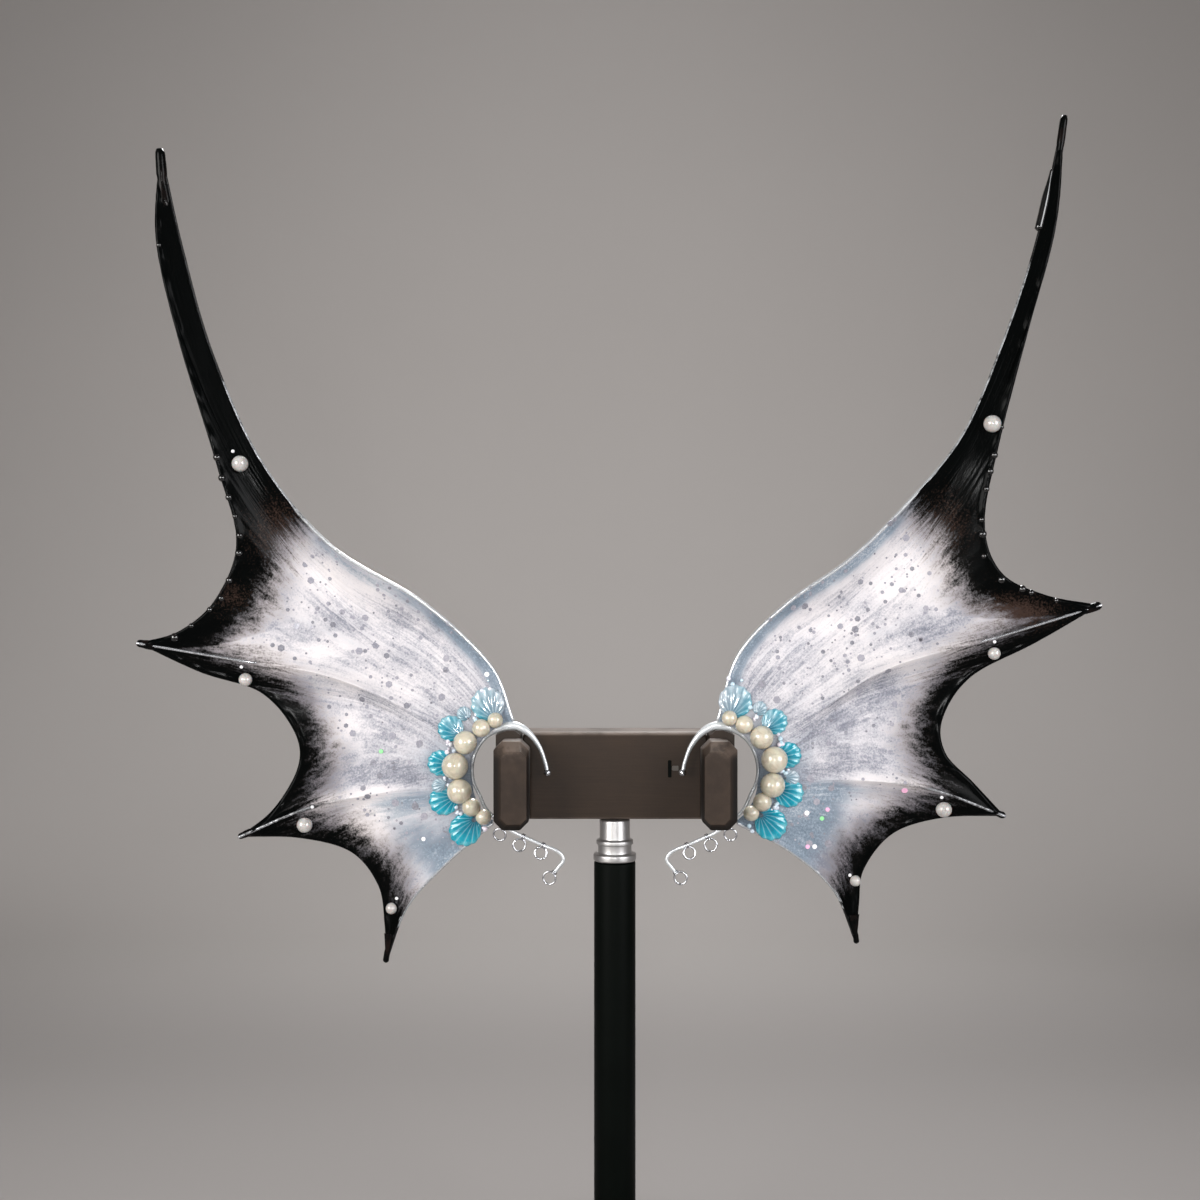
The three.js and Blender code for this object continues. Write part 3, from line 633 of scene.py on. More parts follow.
def tube(path, radii, sides=BAR_SIDES, closed=False):
    """A round bar along a path of points, with domed ends unless it closes on itself."""
    path = np.asarray(path, float)
    radii = np.broadcast_to(radii, len(path))
    tangents = np.gradient(path, axis=0)
    if closed:
        tangents = np.roll(path, -1, axis=0) - np.roll(path, 1, axis=0)
    tangents /= np.linalg.norm(tangents, axis=1, keepdims=True)
    if not closed:
        beyond, shrink = DOME.T
        start = path[0] - np.outer(beyond * radii[0], tangents[0])
        end = path[-1] + np.outer(beyond[::-1] * radii[-1], tangents[-1])
        path = np.vstack([start, path, end])
        radii = np.concatenate([radii[0] * shrink, radii, radii[-1] * shrink[::-1]])
        tangents = np.pad(tangents, ((len(DOME), len(DOME)), (0, 0)), mode="edge")
    side = np.cross(tangents[0], [0.0, 1.0, 0.0])
    starts_along_y = np.linalg.norm(side) < 0.1
    if starts_along_y:
        side = np.cross(tangents[0], [1.0, 0.0, 0.0])
    rings = []
    for centre, tangent, radius in zip(path, tangents, radii):
        side = side - tangent * side.dot(tangent)
        side /= np.linalg.norm(side)
        rings.append(centre + radius * wheel(sides, side, np.cross(tangent, side)))
    return skin(rings, closed)


def by_point(share):
    """A value for each point of a bar, from one for each point of its path."""
    return np.repeat(np.pad(share, len(DOME), mode="edge"), BAR_SIDES)


def ring(centre, axis, radius, wire, segments=32, sides=10):
    """A closed round ring about an axis."""
    axis = np.asarray(axis, float) / np.linalg.norm(axis)
    return tube(centre + radius * wheel(segments, *spanned(axis)), wire, sides, closed=True)


def globe(centre, radius, facing=(0, -1, 0), back=1.0, grid=(28, 18)):
    """A ball whose half away from its facing is flattened to a share of its radius."""
    facing = np.asarray(facing, float)
    columns, rows = grid
    tilts = math.pi * np.arange(1, rows)[:, None, None] / rows
    along = np.cos(tilts) * np.where(tilts < math.pi / 2, 1, back)
    rings = along * facing + np.sin(tilts) * wheel(columns, *spanned(facing))
    points = centre + radius * np.vstack([facing, rings.reshape(-1, 3), -back * facing])
    last = len(points) - 1
    grid = np.arange(1, last).reshape(rows - 1, columns)
    grid = np.vstack([np.zeros(columns, int), grid, np.full(columns, last)])
    return points, woven(grid, round_columns=True)


def disc(centre, facing, radius, thickness, sides, turn):
    """A flat prism that lies on a surface, sunk by half its thickness."""
    rim = centre + radius * wheel(sides, *spanned(facing), turn)
    return skin([rim - 0.5 * thickness * facing, rim + thickness * facing])


def slab(rings):
    """A solid through rings, each a rectangle with cut corners: depth, left, right, bottom, top, cut."""
    outlines = []
    for depth, left, right, bottom, top, cut in rings:
        outlines.append(spot([
            (left + cut, bottom), (right - cut, bottom), (right, bottom + cut), (right, top - cut),
            (right - cut, top), (left + cut, top), (left, top - cut), (left, bottom + cut)], depth))
    return skin(outlines)


def strap(path, half_widths, half_depths, sides=18):
    """A flattened bar along a path that lies about level with the XZ plane."""
    along = np.gradient(path, axis=0)
    across = np.stack([along[:, 2], np.zeros(len(path)), -along[:, 0]], axis=1)
    across /= np.linalg.norm(across, axis=1, keepdims=True)
    turns = np.linspace(0, 2 * math.pi, sides, endpoint=False)[None, :, None]
    flat = np.cos(turns) * (across * half_widths[:, None])[:, None, :]
    deep = np.sin(turns) * (np.array([0, 1, 0]) * half_depths[:, None])[:, None, :]
    return skin(path[:, None, :] + flat + deep)


def turned(profile, sides=96):
    """A solid of revolution about the Z axis, from an open profile of radius and height."""
    turns = np.linspace(0, 2 * math.pi, sides, endpoint=False)
    points, rows = [], []
    for radius, height in profile:
        used = turns if radius else turns[:1]
        rows.append([len(points) + i % len(used) for i in range(sides)])
        points += [(radius * math.cos(t), radius * math.sin(t), height) for t in used]
    return np.array(points), woven(np.array(rows), round_columns=True)


def eased(corners, radius, steps=4):
    """A profile whose inner corners are rounded."""
    profile = [corners[0]]
    for before, corner, after in zip(corners, corners[1:], corners[2:]):
        corner = np.array(corner, float)
        arms = [np.array(end, float) - corner for end in (before, after)]
        reach = min(radius, *(0.49 * np.linalg.norm(arm) for arm in arms))
        start, end = (corner + arm / np.linalg.norm(arm) * reach for arm in arms)
        for i in range(steps + 1):
            t = i / steps
            profile.append(tuple((1 - t) ** 2 * start + 2 * t * (1 - t) * corner + t * t * end))
    return [*profile, corners[-1]]


# Materials. Colours are written as they show, from 0 to 255.

def colour(red, green, blue):
    """A display colour as the linear colour that shaders take."""
    def linear(x):
        x /= 255
        return x / 12.92 if x <= 0.04045 else ((x + 0.055) / 1.055) ** 2.4
    return linear(red), linear(green), linear(blue), 1.0


class Look:
    """A procedural material around one Principled shader."""

    def __init__(self, name, **constants):
        self.material = bpy.data.materials.new(name)
        self.material.use_nodes = True
        self.tree = self.material.node_tree
        self.shader = self.tree.nodes["Principled BSDF"]
        self.drive(**constants)

    def node(self, kind, inputs=None, **settings):
        made = self.tree.nodes.new("ShaderNode" + kind)
        for key, value in settings.items():
            setattr(made, key, value)
        for key, value in (inputs or {}).items():
            self.put(made.inputs[key], value)
        return made

    def put(self, socket, value):
        if isinstance(value, bpy.types.NodeSocket):
            self.tree.links.new(value, socket)
        else:
            socket.default_value = value

    def drive(self, **sockets):
        """Sets or links the shader's own inputs, named in lower case."""
        for key, value in sockets.items():
            self.put(self.shader.inputs[key.replace("_", " ").title().replace("Ior", "IOR")], value)

    def attribute(self, name):
        return self.node("Attribute", attribute_name=name).outputs

    def value(self, name):
        return self.attribute(name)["Fac"]

    def place(self, stretch=(1, 1, 1), source=None):
        """Places on the object, or from another source, stretched along the axes."""
        if source is None:
            source = self.node("TexCoord").outputs["Object"]
        return self.node("Mapping", {"Vector": source, "Scale": stretch}).outputs["Vector"]

    def axes(self):
        return self.node("SeparateXYZ", {"Vector": self.place()}).outputs

    def noise(self, scale, detail=3.0, roughness=0.55, distortion=0.0, source=None):
        """Noise of one scale, or of one for each axis."""
        stretch, scale = (scale, 1.0) if isinstance(scale, tuple) else ((1, 1, 1), scale)
        inputs = {"Vector": self.place(stretch, source), "Scale": scale, "Detail": detail}
        inputs |= {"Roughness": roughness, "Distortion": distortion}
        return self.node("TexNoise", inputs).outputs["Fac"]

    def math(self, operation, a, b):
        return self.node("Math", {0: a, 1: b}, operation=operation).outputs[0]

    def times(self, a, b):
        return self.math("MULTIPLY", a, b)

    def sum(self, first, *terms):
        """A value plus each term's value times its weight."""
        total = first
        for term, weight in terms:
            total = self.node("Math", {0: term, 1: weight, 2: total}, operation="MULTIPLY_ADD").outputs[0]
        return total

    def sway(self, first, *terms):
        """A value moved both ways by noises, each times its weight."""
        middle = sum(weight for _, weight in terms) / 2
        return self.math("SUBTRACT", self.sum(first, *terms), middle)

    def step(self, value, low, high, start=0.0, end=1.0):
        inputs = {"Value": value, "From Min": low, "From Max": high, "To Min": start, "To Max": end}
        return self.node("MapRange", inputs, interpolation_type="SMOOTHSTEP").outputs["Result"]

    def span(self, value, ends):
        """A step between two places in millimetres."""
        return self.step(value, *(MM * end for end in ends))

    def mix(self, factor, a, b):
        """A colour between two, each a link or a display colour."""
        a, b = (colour(*tone) if isinstance(tone, tuple) else tone for tone in (a, b))
        return self.node("Mix", {0: factor, 6: a, 7: b}, data_type="RGBA").outputs[2]

    def ramp(self, value, *stops):
        made = self.node("ValToRGB", {"Fac": value})
        entries = made.color_ramp.elements
        while len(entries) < len(stops):
            entries.new(0.5)
        for entry, (at, tone) in zip(entries, stops):
            entry.position = at
            entry.color = colour(*tone)
        return made.outputs["Color"]

    def bump(self, height, depth, strength):
        inputs = {"Height": height, "Distance": depth * MM, "Strength": strength}
        self.drive(normal=self.node("Bump", inputs).outputs["Normal"])


def film_look():
    """Steel-blue film, dry-brushed with pearl paint and feathered to gloss black at its edges."""
    look = Look("fin_film", specular_ior_level=0.045)
    ray = look.attribute("ray")["Vector"]
    broad = look.noise((0.2, 0.02, 1), 3.0, 0.5, 0.0, ray)
    streak = look.noise((0.62, 0.085, 1), 4.0, 0.62, 0.4, ray)
    clump = look.noise((0.36, 0.12, 1), 4.0, 0.62, 0.0, ray)
    bristle = look.noise((0.95, 0.26, 1), 5.0, 0.7, 0.6, ray)
    grain = look.noise(1700.0, 2.0, 0.75)
    cloud = look.noise(80.0, 3.0, 0.55)

    bare = look.sway(look.value("blue"), (broad, 1.1), (streak, 0.9), (clump, 0.8), (grain, 1.0))
    paint = look.step(bare, 0.05, 0.95, 1.0, 0.0)
    # The white value carries a painted highlight along the ridges and a painted shade on the lower webs,
    # besides the paint's own lightness
    light = look.sway(
        look.value("white"), (broad, 1.5), (streak, 1.0), (clump, 1.1), (cloud, 1.7), (bristle, 1.0),
        (grain, 1.6))
    pearl = look.ramp(
        look.step(light, -0.9, 1.3),
        (0.0, (118, 121, 132)), (0.3, (174, 173, 180)), (0.6, (207, 203, 206)), (1.0, (229, 223, 223)))
    film = look.ramp(
        look.sway(cloud, (grain, 1.3), (streak, 0.9), (broad, 0.5)),
        (0.05, (92, 109, 124)), (0.6, (138, 152, 166)), (1.0, (194, 200, 208)))
    body = look.mix(paint, film, pearl)

    edge = look.sway(
        look.value("black"), (broad, 8.0), (streak, 9.0), (clump, 12.0), (bristle, 10.0), (grain, 10.0))
    cover = look.step(edge, -10.5, 3.5)
    shade = look.ramp(
        look.step(edge, -9.0, 5.5),
        (0.0, (138, 125, 121)), (0.4, (82, 69, 65)), (0.7, (26, 22, 20)), (1.0, (4, 5, 5)))
    brown = look.step(look.sway(look.value("rust"), (clump, 0.8), (grain, 2.0)), 0.3, 1.1, 0.0, 0.85)
    look.drive(base_color=look.mix(cover, body, look.mix(brown, shade, (62, 48, 42))))
    look.drive(roughness=look.sum(look.step(cover, 0.0, 1.0, 0.48, 0.12), (grain, 0.1)))
    look.drive(metallic=look.times(paint, look.step(cover, 0.0, 0.6, 0.1, 0.0)))
    clear = look.times(look.step(paint, 0.0, 0.6, 1.0, 0.0), look.step(cover, 0.0, 0.4, 0.2, 0.0))
    look.drive(alpha=look.math("SUBTRACT", 1.0, clear))
    look.bump(look.sum(streak, (clump, 0.8), (grain, 0.3)), 0.14, 0.35)
    return look.material


def resin_look(name, gloss, rough):
    """Black resin, thin enough in places to show a little brown."""
    look = Look(name, specular_ior_level=gloss)
    cloud = look.noise(240.0, 3.0, 0.6)
    look.drive(base_color=look.mix(look.step(cloud, 0.45, 0.75), (5, 6, 6), (26, 18, 16)))
    look.drive(roughness=look.sum(rough, (cloud, 2 * rough)))
    look.bump(look.noise(700.0, 2.0, 0.5), 0.12, 0.4)
    return look.material


def wire_look():
    """Drawn silver wire, resin-white where it is thick and painted black where it is in the dark film."""
    look = Look("wire_silver")
    scratch = look.noise(900.0, 4.0, 0.7)
    cloud = look.noise(220.0, 2.0)
    silver = look.mix(cloud, (196, 198, 204), (236, 237, 240))
    resin = look.value("resin")
    body = look.mix(resin, silver, (222, 226, 228))
    cover = look.step(look.sum(look.value("black"), (scratch, 0.9), (cloud, 0.5)), 0.75, 1.25)
    look.drive(base_color=look.mix(cover, body, (12, 11, 12)))
    metal = look.math("SUBTRACT", 1.0, look.times(resin, 0.75))
    look.drive(metallic=look.times(metal, look.math("SUBTRACT", 1.0, cover)))
    look.drive(roughness=look.sum(0.14, (scratch, 0.22)))
    look.bump(scratch, 0.05, 0.4)
    return look.material


def pearl_look(name, pale, deep):
    """Cloudy pearl under a clear coat."""
    look = Look(name, coat_weight=1.0, coat_roughness=0.06, coat_ior=1.55)
    look.drive(subsurface_weight=0.12, subsurface_scale=0.0008)
    cloud = look.noise(320.0, 3.0, 0.6, 0.8)
    look.drive(base_color=look.mix(look.step(cloud, 0.3, 0.7), deep, pale))
    look.drive(roughness=look.sum(0.2, (cloud, 0.16)))
    look.bump(look.sum(cloud, (look.noise(2600.0, 2.0), 0.3)), 0.06, 0.35)
    return look.material


def shell_look():
    """Moulded resin, clear on one side and turquoise on the other, with pale lines along its flutes."""
    look = Look("shell_turquoise", coat_weight=1.0, coat_roughness=0.05)
    reach = look.value("reach")
    cloud = look.noise(480.0, 3.0, 0.6)
    turquoise = look.ramp(
        look.sway(reach, (cloud, 1.1)),
        (0.0, (0, 98, 122)), (0.45, (0, 134, 156)), (0.8, (8, 156, 176)), (1.0, (88, 180, 194)))
    glass = look.ramp(
        look.sway(reach, (cloud, 0.9)),
        (0.0, (120, 138, 151)), (0.6, (150, 163, 173)), (1.0, (190, 197, 205)))
    body = look.mix(look.step(look.sway(look.value("clear"), (cloud, 0.5)), 0.1, 0.9), turquoise, glass)
    groove = look.value("groove")
    lined = look.mix(look.step(groove, 0.45, 1.0, 0.0, 0.34), body, (184, 214, 222))
    look.drive(base_color=look.mix(look.step(groove, 0.0, 0.25, 0.22, 0.0), lined, (0, 92, 116)))
    look.drive(roughness=look.sum(0.1, (cloud, 0.14)))
    look.bump(cloud, 0.06, 0.3)
    return look.material


def bead_look(name, gloss, *tones):
    """Tiny glass beads and foil dots that take a tone each from a short row of colours."""
    look = Look(name, coat_weight=gloss, coat_roughness=0.04, specular_ior_level=0.5 * gloss)
    body = look.ramp(look.value("tone"), *((i / len(tones), tone) for i, tone in enumerate(tones)))
    cloud = look.noise(1800.0, 2.0)
    look.drive(base_color=look.mix(look.times(cloud, 0.35), body, (250, 246, 252)))
    look.drive(roughness=look.sum(0.4 - 0.32 * gloss, (cloud, 0.15)))
    return look.material


def plastic_look(name, tone, wear_and_highlight, rough, gloss):
    """Moulded plastic with a fine grain, soft blotches and pale scuffs."""
    look = Look(name, specular_ior_level=gloss)
    grain = look.noise(2400.0, 2.0, 0.7)
    cloud = look.noise(60.0, 4.0, 0.6)
    scuff = look.noise((160, 160, 26), 6.0, 0.75, 1.2)
    body = look.mix(look.step(cloud, 0.3, 0.7), tuple(0.8 * x for x in tone), tone)
    look.drive(base_color=look.mix(look.step(scuff, 0.62, 0.78, 0.0, 0.4), body, wear_and_highlight))
    look.drive(roughness=look.sum(rough - 0.1, (cloud, 0.14), (grain, 0.08)))
    look.bump(look.sum(grain, (cloud, 0.4)), 0.05, 0.5)
    return look.material


def plate_look():
    """Brown moulded plastic with fine level brush marks and patchy painted highlights along its top and
    bottom edges.
    """
    look = Look("plate_brown", specular_ior_level=0.25)
    height = look.axes()["Z"]
    lines = look.noise((60, 60, 2600), 3.0, 0.6)
    cloud = look.noise(70.0, 4.0, 0.6)
    grain = look.noise(2400.0, 2.0, 0.7)
    body = look.ramp(
        look.sway(cloud, (lines, 0.8), (grain, 0.5)), (0.2, (37, 26, 17)), (0.8, (50, 37, 26)))
    # Patchy painted highlights along the top and bottom edges
    top, foot = (look.span(height, ends) for ends in (PLATE_EDGE_HIGHLIGHT.top, PLATE_EDGE_HIGHLIGHT.foot))
    wear_and_highlight = look.times(look.math("MAXIMUM", top, foot), look.step(cloud, 0.3, 0.6, 0.3, 0.9))
    look.drive(base_color=look.mix(wear_and_highlight, body, (104, 92, 84)))
    look.drive(roughness=look.sum(0.36, (cloud, 0.14), (grain, 0.08)))
    look.bump(look.sum(grain, (lines, 0.6)), 0.04, 0.4)
    return look.material


def pad_look():
    """Rubber: a brown face, with a patchy painted highlight along its top and a painted shade down its
    chamfers.
    """
    look = Look("pad_rubber", specular_ior_level=0.25)
    place = look.axes()
    grain = look.noise(2400.0, 2.0, 0.7)
    cloud = look.noise(150.0, 4.0, 0.65)
    face = look.mix(look.step(cloud, 0.3, 0.7), (41, 31, 24), (55, 43, 34))
    # A patchy painted highlight along the top of the pad
    top = look.span(place["Z"], PAD_HIGHLIGHT_SHADE.top)
    top_highlit = look.mix(look.times(top, look.step(cloud, 0.4, 0.62, 0.15, 0.9)), face, (100, 86, 76))
    # A painted shade down the chamfers and sides, weaker near the top
    side = look.span(place["Y"], PAD_HIGHLIGHT_SHADE.side)
    dark = look.times(side, look.step(top, 0.0, 0.8, 1.0, 0.25))
    look.drive(base_color=look.mix(dark, top_highlit, (22, 17, 14)))
    look.drive(roughness=look.sum(0.42, (cloud, 0.16), (grain, 0.08)))
    look.bump(look.sum(grain, (cloud, 0.5)), 0.05, 0.5)
    return look.material


def metal_look(name, tone, rough):
    """Turned metal with fine rings of machining round the pole's axis."""
    look = Look(name, metallic=1.0)
    rings = look.noise((40, 40, 2600), 3.0)
    cloud = look.noise(150.0, 3.0)
    look.drive(base_color=look.mix(cloud, tuple(0.86 * x for x in tone), tone))
    look.drive(roughness=look.sum(rough, (rings, 0.12), (cloud, 0.08)))
    look.bump(rings, 0.02, 0.35)
    return look.material


def stage_look():
    """Plain grey, a little deeper on the floor, where the lamps fall more squarely."""
    look = Look("stage_grey", roughness=0.85)
    wall = look.mix(look.noise(3.0, 2.0), (187, 182, 179), (193, 188, 185))
    look.drive(base_color=look.mix(look.step(look.axes()["Y"], *FLOOR_DEPTHS), (122, 118, 116), wall))
    return look.material


LOOKS = {
    "fin_film": film_look(),
    "resin_black": resin_look("resin_black", 0.09, 0.09),
    "resin_wet": resin_look("resin_wet", 1.0, 0.05),
    "wire_silver": wire_look(),
    "pearl_cream": pearl_look("pearl_cream", (214, 206, 186), (190, 181, 161)),
    "pearl_white": pearl_look("pearl_white", (196, 192, 188), (170, 166, 163)),
    "shell_turquoise": shell_look(),
    "clear_beads": bead_look(
        "clear_beads", 1.0,
        (226, 224, 236), (206, 222, 236), (246, 244, 250), (230, 218, 230), (184, 216, 230)),
    "glitter": bead_look(
        "glitter", 0.1, (98, 100, 112), (120, 120, 132), (136, 134, 144), (84, 86, 98)),
    "sparkles": bead_look("sparkles", 1.0, (248, 248, 250), (120, 226, 130), (246, 170, 210)),
    "clamp_brown": plastic_look("clamp_brown", (44, 32, 23), (104, 92, 80), 0.42, 0.25),
    "plate_brown": plate_look(),
    # A grey for the painted reflection of the right hook's ball end on the plate
    "peg_grey": plastic_look("peg_grey", (92, 86, 81), (140, 135, 130), 0.4, 0.3),
    "pad_rubber": pad_look(),
    "stand_black": plastic_look("stand_black", (6, 9, 7), (24, 26, 25), 0.46, 0.04),
    "neck_silver": metal_look("neck_silver", (206, 204, 203), 0.3),
}


# The ears

def film(fin):
    values = {"ray": fin.ray.reshape(-1, 3), **fin.paint()}
    both = {name: np.concatenate([value, value]) for name, value in values.items()}
    build = Build().add(*sheet(fin.front, fin.back, shared_edge=True), **both)
    fin.made(build, "film", "fin_film", "fin")


def tip_sleeves(fin):
    """Blunt resin-dipped ends that close the film over the tips, the crest's with a waist."""
    build = Build()
    waist_at, waist_depth = fin.spec["waist"]
    along = np.linspace(0, 1, TIP.steps)
    for k, rib in enumerate(fin.ribs):
        radius = fin.spec["tips"][k]
        share = np.linspace(1 - TIP.length[k] / rib.length, 1, TIP.steps)
        place, depth = fin.along(k, share)
        width = np.zeros(len(share))
        if k in (0, 3):
            edge = fin.edges[0 if k == 0 else -1]
            run = (1 - share) * rib.length / edge.length
            other = edge.at(run if k == 0 else 1 - run)
            across = rib.tangent(share)[:, ::-1] * (1, -1)
            width = np.abs(((other - place) * across).sum(axis=1)) / 2
            place = (place + other) / 2
        swell = rise(TIP.swell, along)
        swell *= 1 + TIP.wobble * wander(np.arange(TIP.steps), TIP.pitch, fin.spec["seed"] + k)
        if k == 0:
            swell *= 1 - waist_depth * bell((along - waist_at) / TIP.waist)
        swell *= np.sqrt(fall(TIP.end, along))
        build.add(*strap(spot(place, depth), np.maximum(radius * swell, width), radius * swell))
    fin.made(build, "tip_sleeves", "resin_black", slot="fin_film")


def resin_drops(fin):
    """A loose sheath on the crest's wire, drops on the first valley's black edge, and lumps."""
    build = Build()
    for start, end, radius in fin.spec["sheath"]:
        place, depth = fin.along(0, np.linspace(start, end, SHEATH.steps))
        swell = between(rise(SHEATH.taper, np.linspace(0, 1, SHEATH.steps)), SHEATH.least, 1)
        build.add(*tube(spot(place - SHEATH.offset, depth), radius * swell))
    rng = np.random.default_rng(fin.seed("drops"))
    for share in np.linspace(*DROPS.from_to, DROPS.count):
        place = fin.edges[0].at(share + rng.uniform(-DROPS.shift, DROPS.shift))
        place = place * (1 - rng.uniform(*DROPS.inset) / np.hypot(*place))
        seat, facing = fin.seat(fin.cell(place))
        radius = rng.uniform(*DROPS.radius)
        centre = seat - facing * (DROPS.sunk * radius)
        build.add(*globe(centre, radius, facing, DROPS.back, DROPS.grid))
    for out, up, radius in fin.spec["lumps"]:
        seat, facing = fin.seat(fin.cell((out, up)))
        build.add(*globe(seat - facing * FILM.half, radius, facing, grid=LUMP_GRID))
    fin.made(build, "resin_drops", "resin_wet", slot="fin_film")


def border_wires(fin):
    """Wires along the crest and the lower edge: silver, then patchy, then painted over."""
    share = np.linspace(0, 1, BORDER.steps)
    along = by_point(share)
    wobble = 1 + BORDER.wobble * wander(share * BORDER.run, BORDER.pitch, fin.spec["seed"])
    radii = BORDER.radius * (1 - BORDER.taper * share) * wobble
    for k, (patchy, painted) in ((0, fin.spec["wire_black"]), (3, LOWER_WIRE_BLACK)):
        name = fin.spec["ribs"][k]["name"]
        black = BORDER.patchy * rise(BORDER.patchy_span, along - patchy)
        black += rise(BORDER.painted_span, along - painted)
        bar = tube(spot(*fin.along(k, share)), radii)
        build = Build().add(*bar, black=black, resin=BORDER.resin)
        fin.made(build, f"{name}_border", "wire_silver", f"{name}_wire")


def rib_wires(fin):
    """The spines under the ridges, which come out of the film towards the spikes' tips."""
    share = np.linspace(RIB_WIRE.start, 1, RIB_WIRE.steps)
    lift = between(rise(RIB_WIRE.bare, share), RIB_WIRE.sunk, RIB_WIRE.out)
    for k, (name, black) in enumerate(RIB_WIRES.items(), 1):
        place, depth = fin.along(k, share)
        bar = tube(spot(place, depth + lift), RIB_WIRE.radius)
        build = Build().add(*bar, black=black, resin=RIB_WIRE.resin)
        fin.made(build, f"{name}_spine", "wire_silver", f"{name}_rib")


def ear_wire(fin):
    """The hook, the C and the tail with its wrapped loops."""
    angles = np.linspace(CUFF_ARC.start, CUFF_ARC.end, CUFF_ARC.points)
    route = Curve([*HOOK, *(polar(angle, CUFF_ARC.radius) for angle in angles), *TAIL])
    share = np.linspace(0, 1, EAR_WIRE.steps)
    path = spot(route.at(share), 0.0)
    hand = SIDES[fin.side]
    radii = np.interp(share, *zip(*EAR_WIRE_RADII))
    wobble = wander(share * EAR_WIRE.run, EAR_WIRE.pitch, EAR_WIRE.seed + hand)
    radii *= 1 + EAR_WIRE.wobble * wobble
    joint = bell((by_point(share) - RESIN_JOINT.at) / RESIN_JOINT.spread)
    resin = RESIN_JOINT.least + RESIN_JOINT.gain * joint
    bare = {"black": 0.0, "resin": 0.0}
    build = Build().add(*tube(path, radii), black=0.0, resin=resin)
    build.add(*globe(spot(HOOK[0], 0.0), BALL_RADIUS), **bare)
    for i, (out, up, radius) in enumerate(LOOPS):
        centre = spot((out, up), 0.0)
        lean = LOOP_TILT.out * math.sin(LOOP_TILT.out_turn * i + hand)
        axis = (lean, 1.0, LOOP_TILT.up * math.cos(LOOP_TILT.up_turn * i))
        build.add(*ring(centre, axis, radius, LOOP_WIRE), **bare)
        hung = np.linalg.norm(path - centre, axis=1).argmin()
        tangent = spot(route.tangent(share[hung]), 0.0)
        for shift in (-WRAP.shift, WRAP.shift):
            size = radii[hung] + WRAP.lift, WRAP.wire, WRAP.segments, WRAP.sides
            build.add(*ring(path[hung] + tangent * shift, tangent, *size), **bare)
        reach = np.linalg.norm(path[hung] - centre)
        if reach > radius + STALK.from_gap:
            end = centre + (path[hung] - centre) / reach * (radius + STALK.end_gap)
            build.add(*tube([path[hung], end], LOOP_WIRE, STALK.sides), **bare)
    fin.made(build, "hook_and_tail", "wire_silver", "ear_wire")


def cuff_pearls(fin):
    for i, (angle, distance, radius) in enumerate(CUFF_PEARLS, 1):
        centre = spot(polar(angle + fin.spec["turn"], distance), PEARL_SEAT - PEARL_CUT * radius)
        build = Build().add(*globe(centre, radius, back=(PEARL_BACK - centre[1]) / radius))
        name = f"cuff_pearl_{i}"
        fin.made(build, f"{name}_ball", "pearl_cream", name)


def spike_pearls(fin):
    for spike, out, up, radius in fin.spec["spike_pearls"]:
        seat, facing = fin.seat(fin.cell((out, up)))
        centre = seat + facing * (SPIKE_PEARL.lift * radius)
        build = Build().add(*globe(centre, radius, facing, SPIKE_PEARL.back))
        name = f"{spike}_pearl"
        fin.made(build, f"{name}_ball", "pearl_white", name)


def fan(shell, turn):
    """A round fluted scallop that opens away from its hinge, domed in front and flat behind."""
    columns = SHELL.flutes * SHELL.steps
    column = np.arange(columns + 1)[:, None]
    t = np.arange(SHELL.rows + 1)[None, :] / SHELL.rows
    side = 1 - 2 * column / columns
    wave = np.cos(2 * math.pi * column / SHELL.steps)
    swing = np.radians(SHELL.spread * side)
    reach = shell["size"] * np.cos(swing) * between(t, SHELL.hinge, 1)
    reach *= 1 - SHELL.scallop * wave * t
    forward = shell["at"] - 0.5 * shell["size"] + reach * np.cos(swing)
    aside = reach * np.sin(swing)
    out, up = polar(shell["angle"] + turn, 1)
    place = np.stack([forward * out - aside * up, forward * up + aside * out], axis=-1)
    crown = between(np.sqrt(1 - t ** SHELL.fall), SHELL.rim, SHELL.crown)
    crown = crown * (1 - SHELL.droop * side * side)
    front = spot(place, PEARL_BACK - crown + SHELL.depth * wave * t)
    back = spot(place, PEARL_BACK + SHELL.back)
    values = {
        "reach": t,
        "groove": (0.5 + 0.5 * wave) ** SHELL.groove,
        "clear": np.interp(side, (-1, 1), shell["clear"][::-1]),
    }
    both = {
        name: np.tile(np.broadcast_to(value, reach.shape).ravel(), 2) for name, value in values.items()
    }
    return Build().add(*sheet(front, back), **both)


def shells(fin):
    """Scallops behind the pearls, and small pale lobes in two of the gaps between them."""
    for i, shell in enumerate(SHELLS, 1):
        build = fan(shell, fin.spec["turn"])
        fin.made(build, f"shell_{i}_fan", "shell_turquoise", f"shell_{i}", sharp=SHELL.sharp)
    for i, lobe in enumerate(LOBES, 1):
        build = fan(lobe, fin.spec["turn"])
        fin.made(build, f"lobe_{i}", "shell_turquoise", sharp=SHELL.sharp)


def clear_beads(fin, rng):
    """Clusters of tiny beads in the gaps between the shells."""
    build = Build()
    for middle, distance, count in CLEAR_BEADS:
        for _ in range(count):
            angle = middle + fin.spec["turn"] + rng.uniform(-1, 1) * CLEAR_BEAD.spread
            radius = rng.uniform(*CLEAR_BEAD.radius)
            place = polar(angle, distance + rng.uniform(-1, 1) * CLEAR_BEAD.depth)
            centre = spot(place, PEARL_BACK - CLEAR_BEAD.lift * radius)
            build.add(*globe(centre, radius, grid=SMALL_GRID), tone=rng.uniform())
    fin.made(build, "clear_beads", "clear_beads", slot="shell_turquoise")


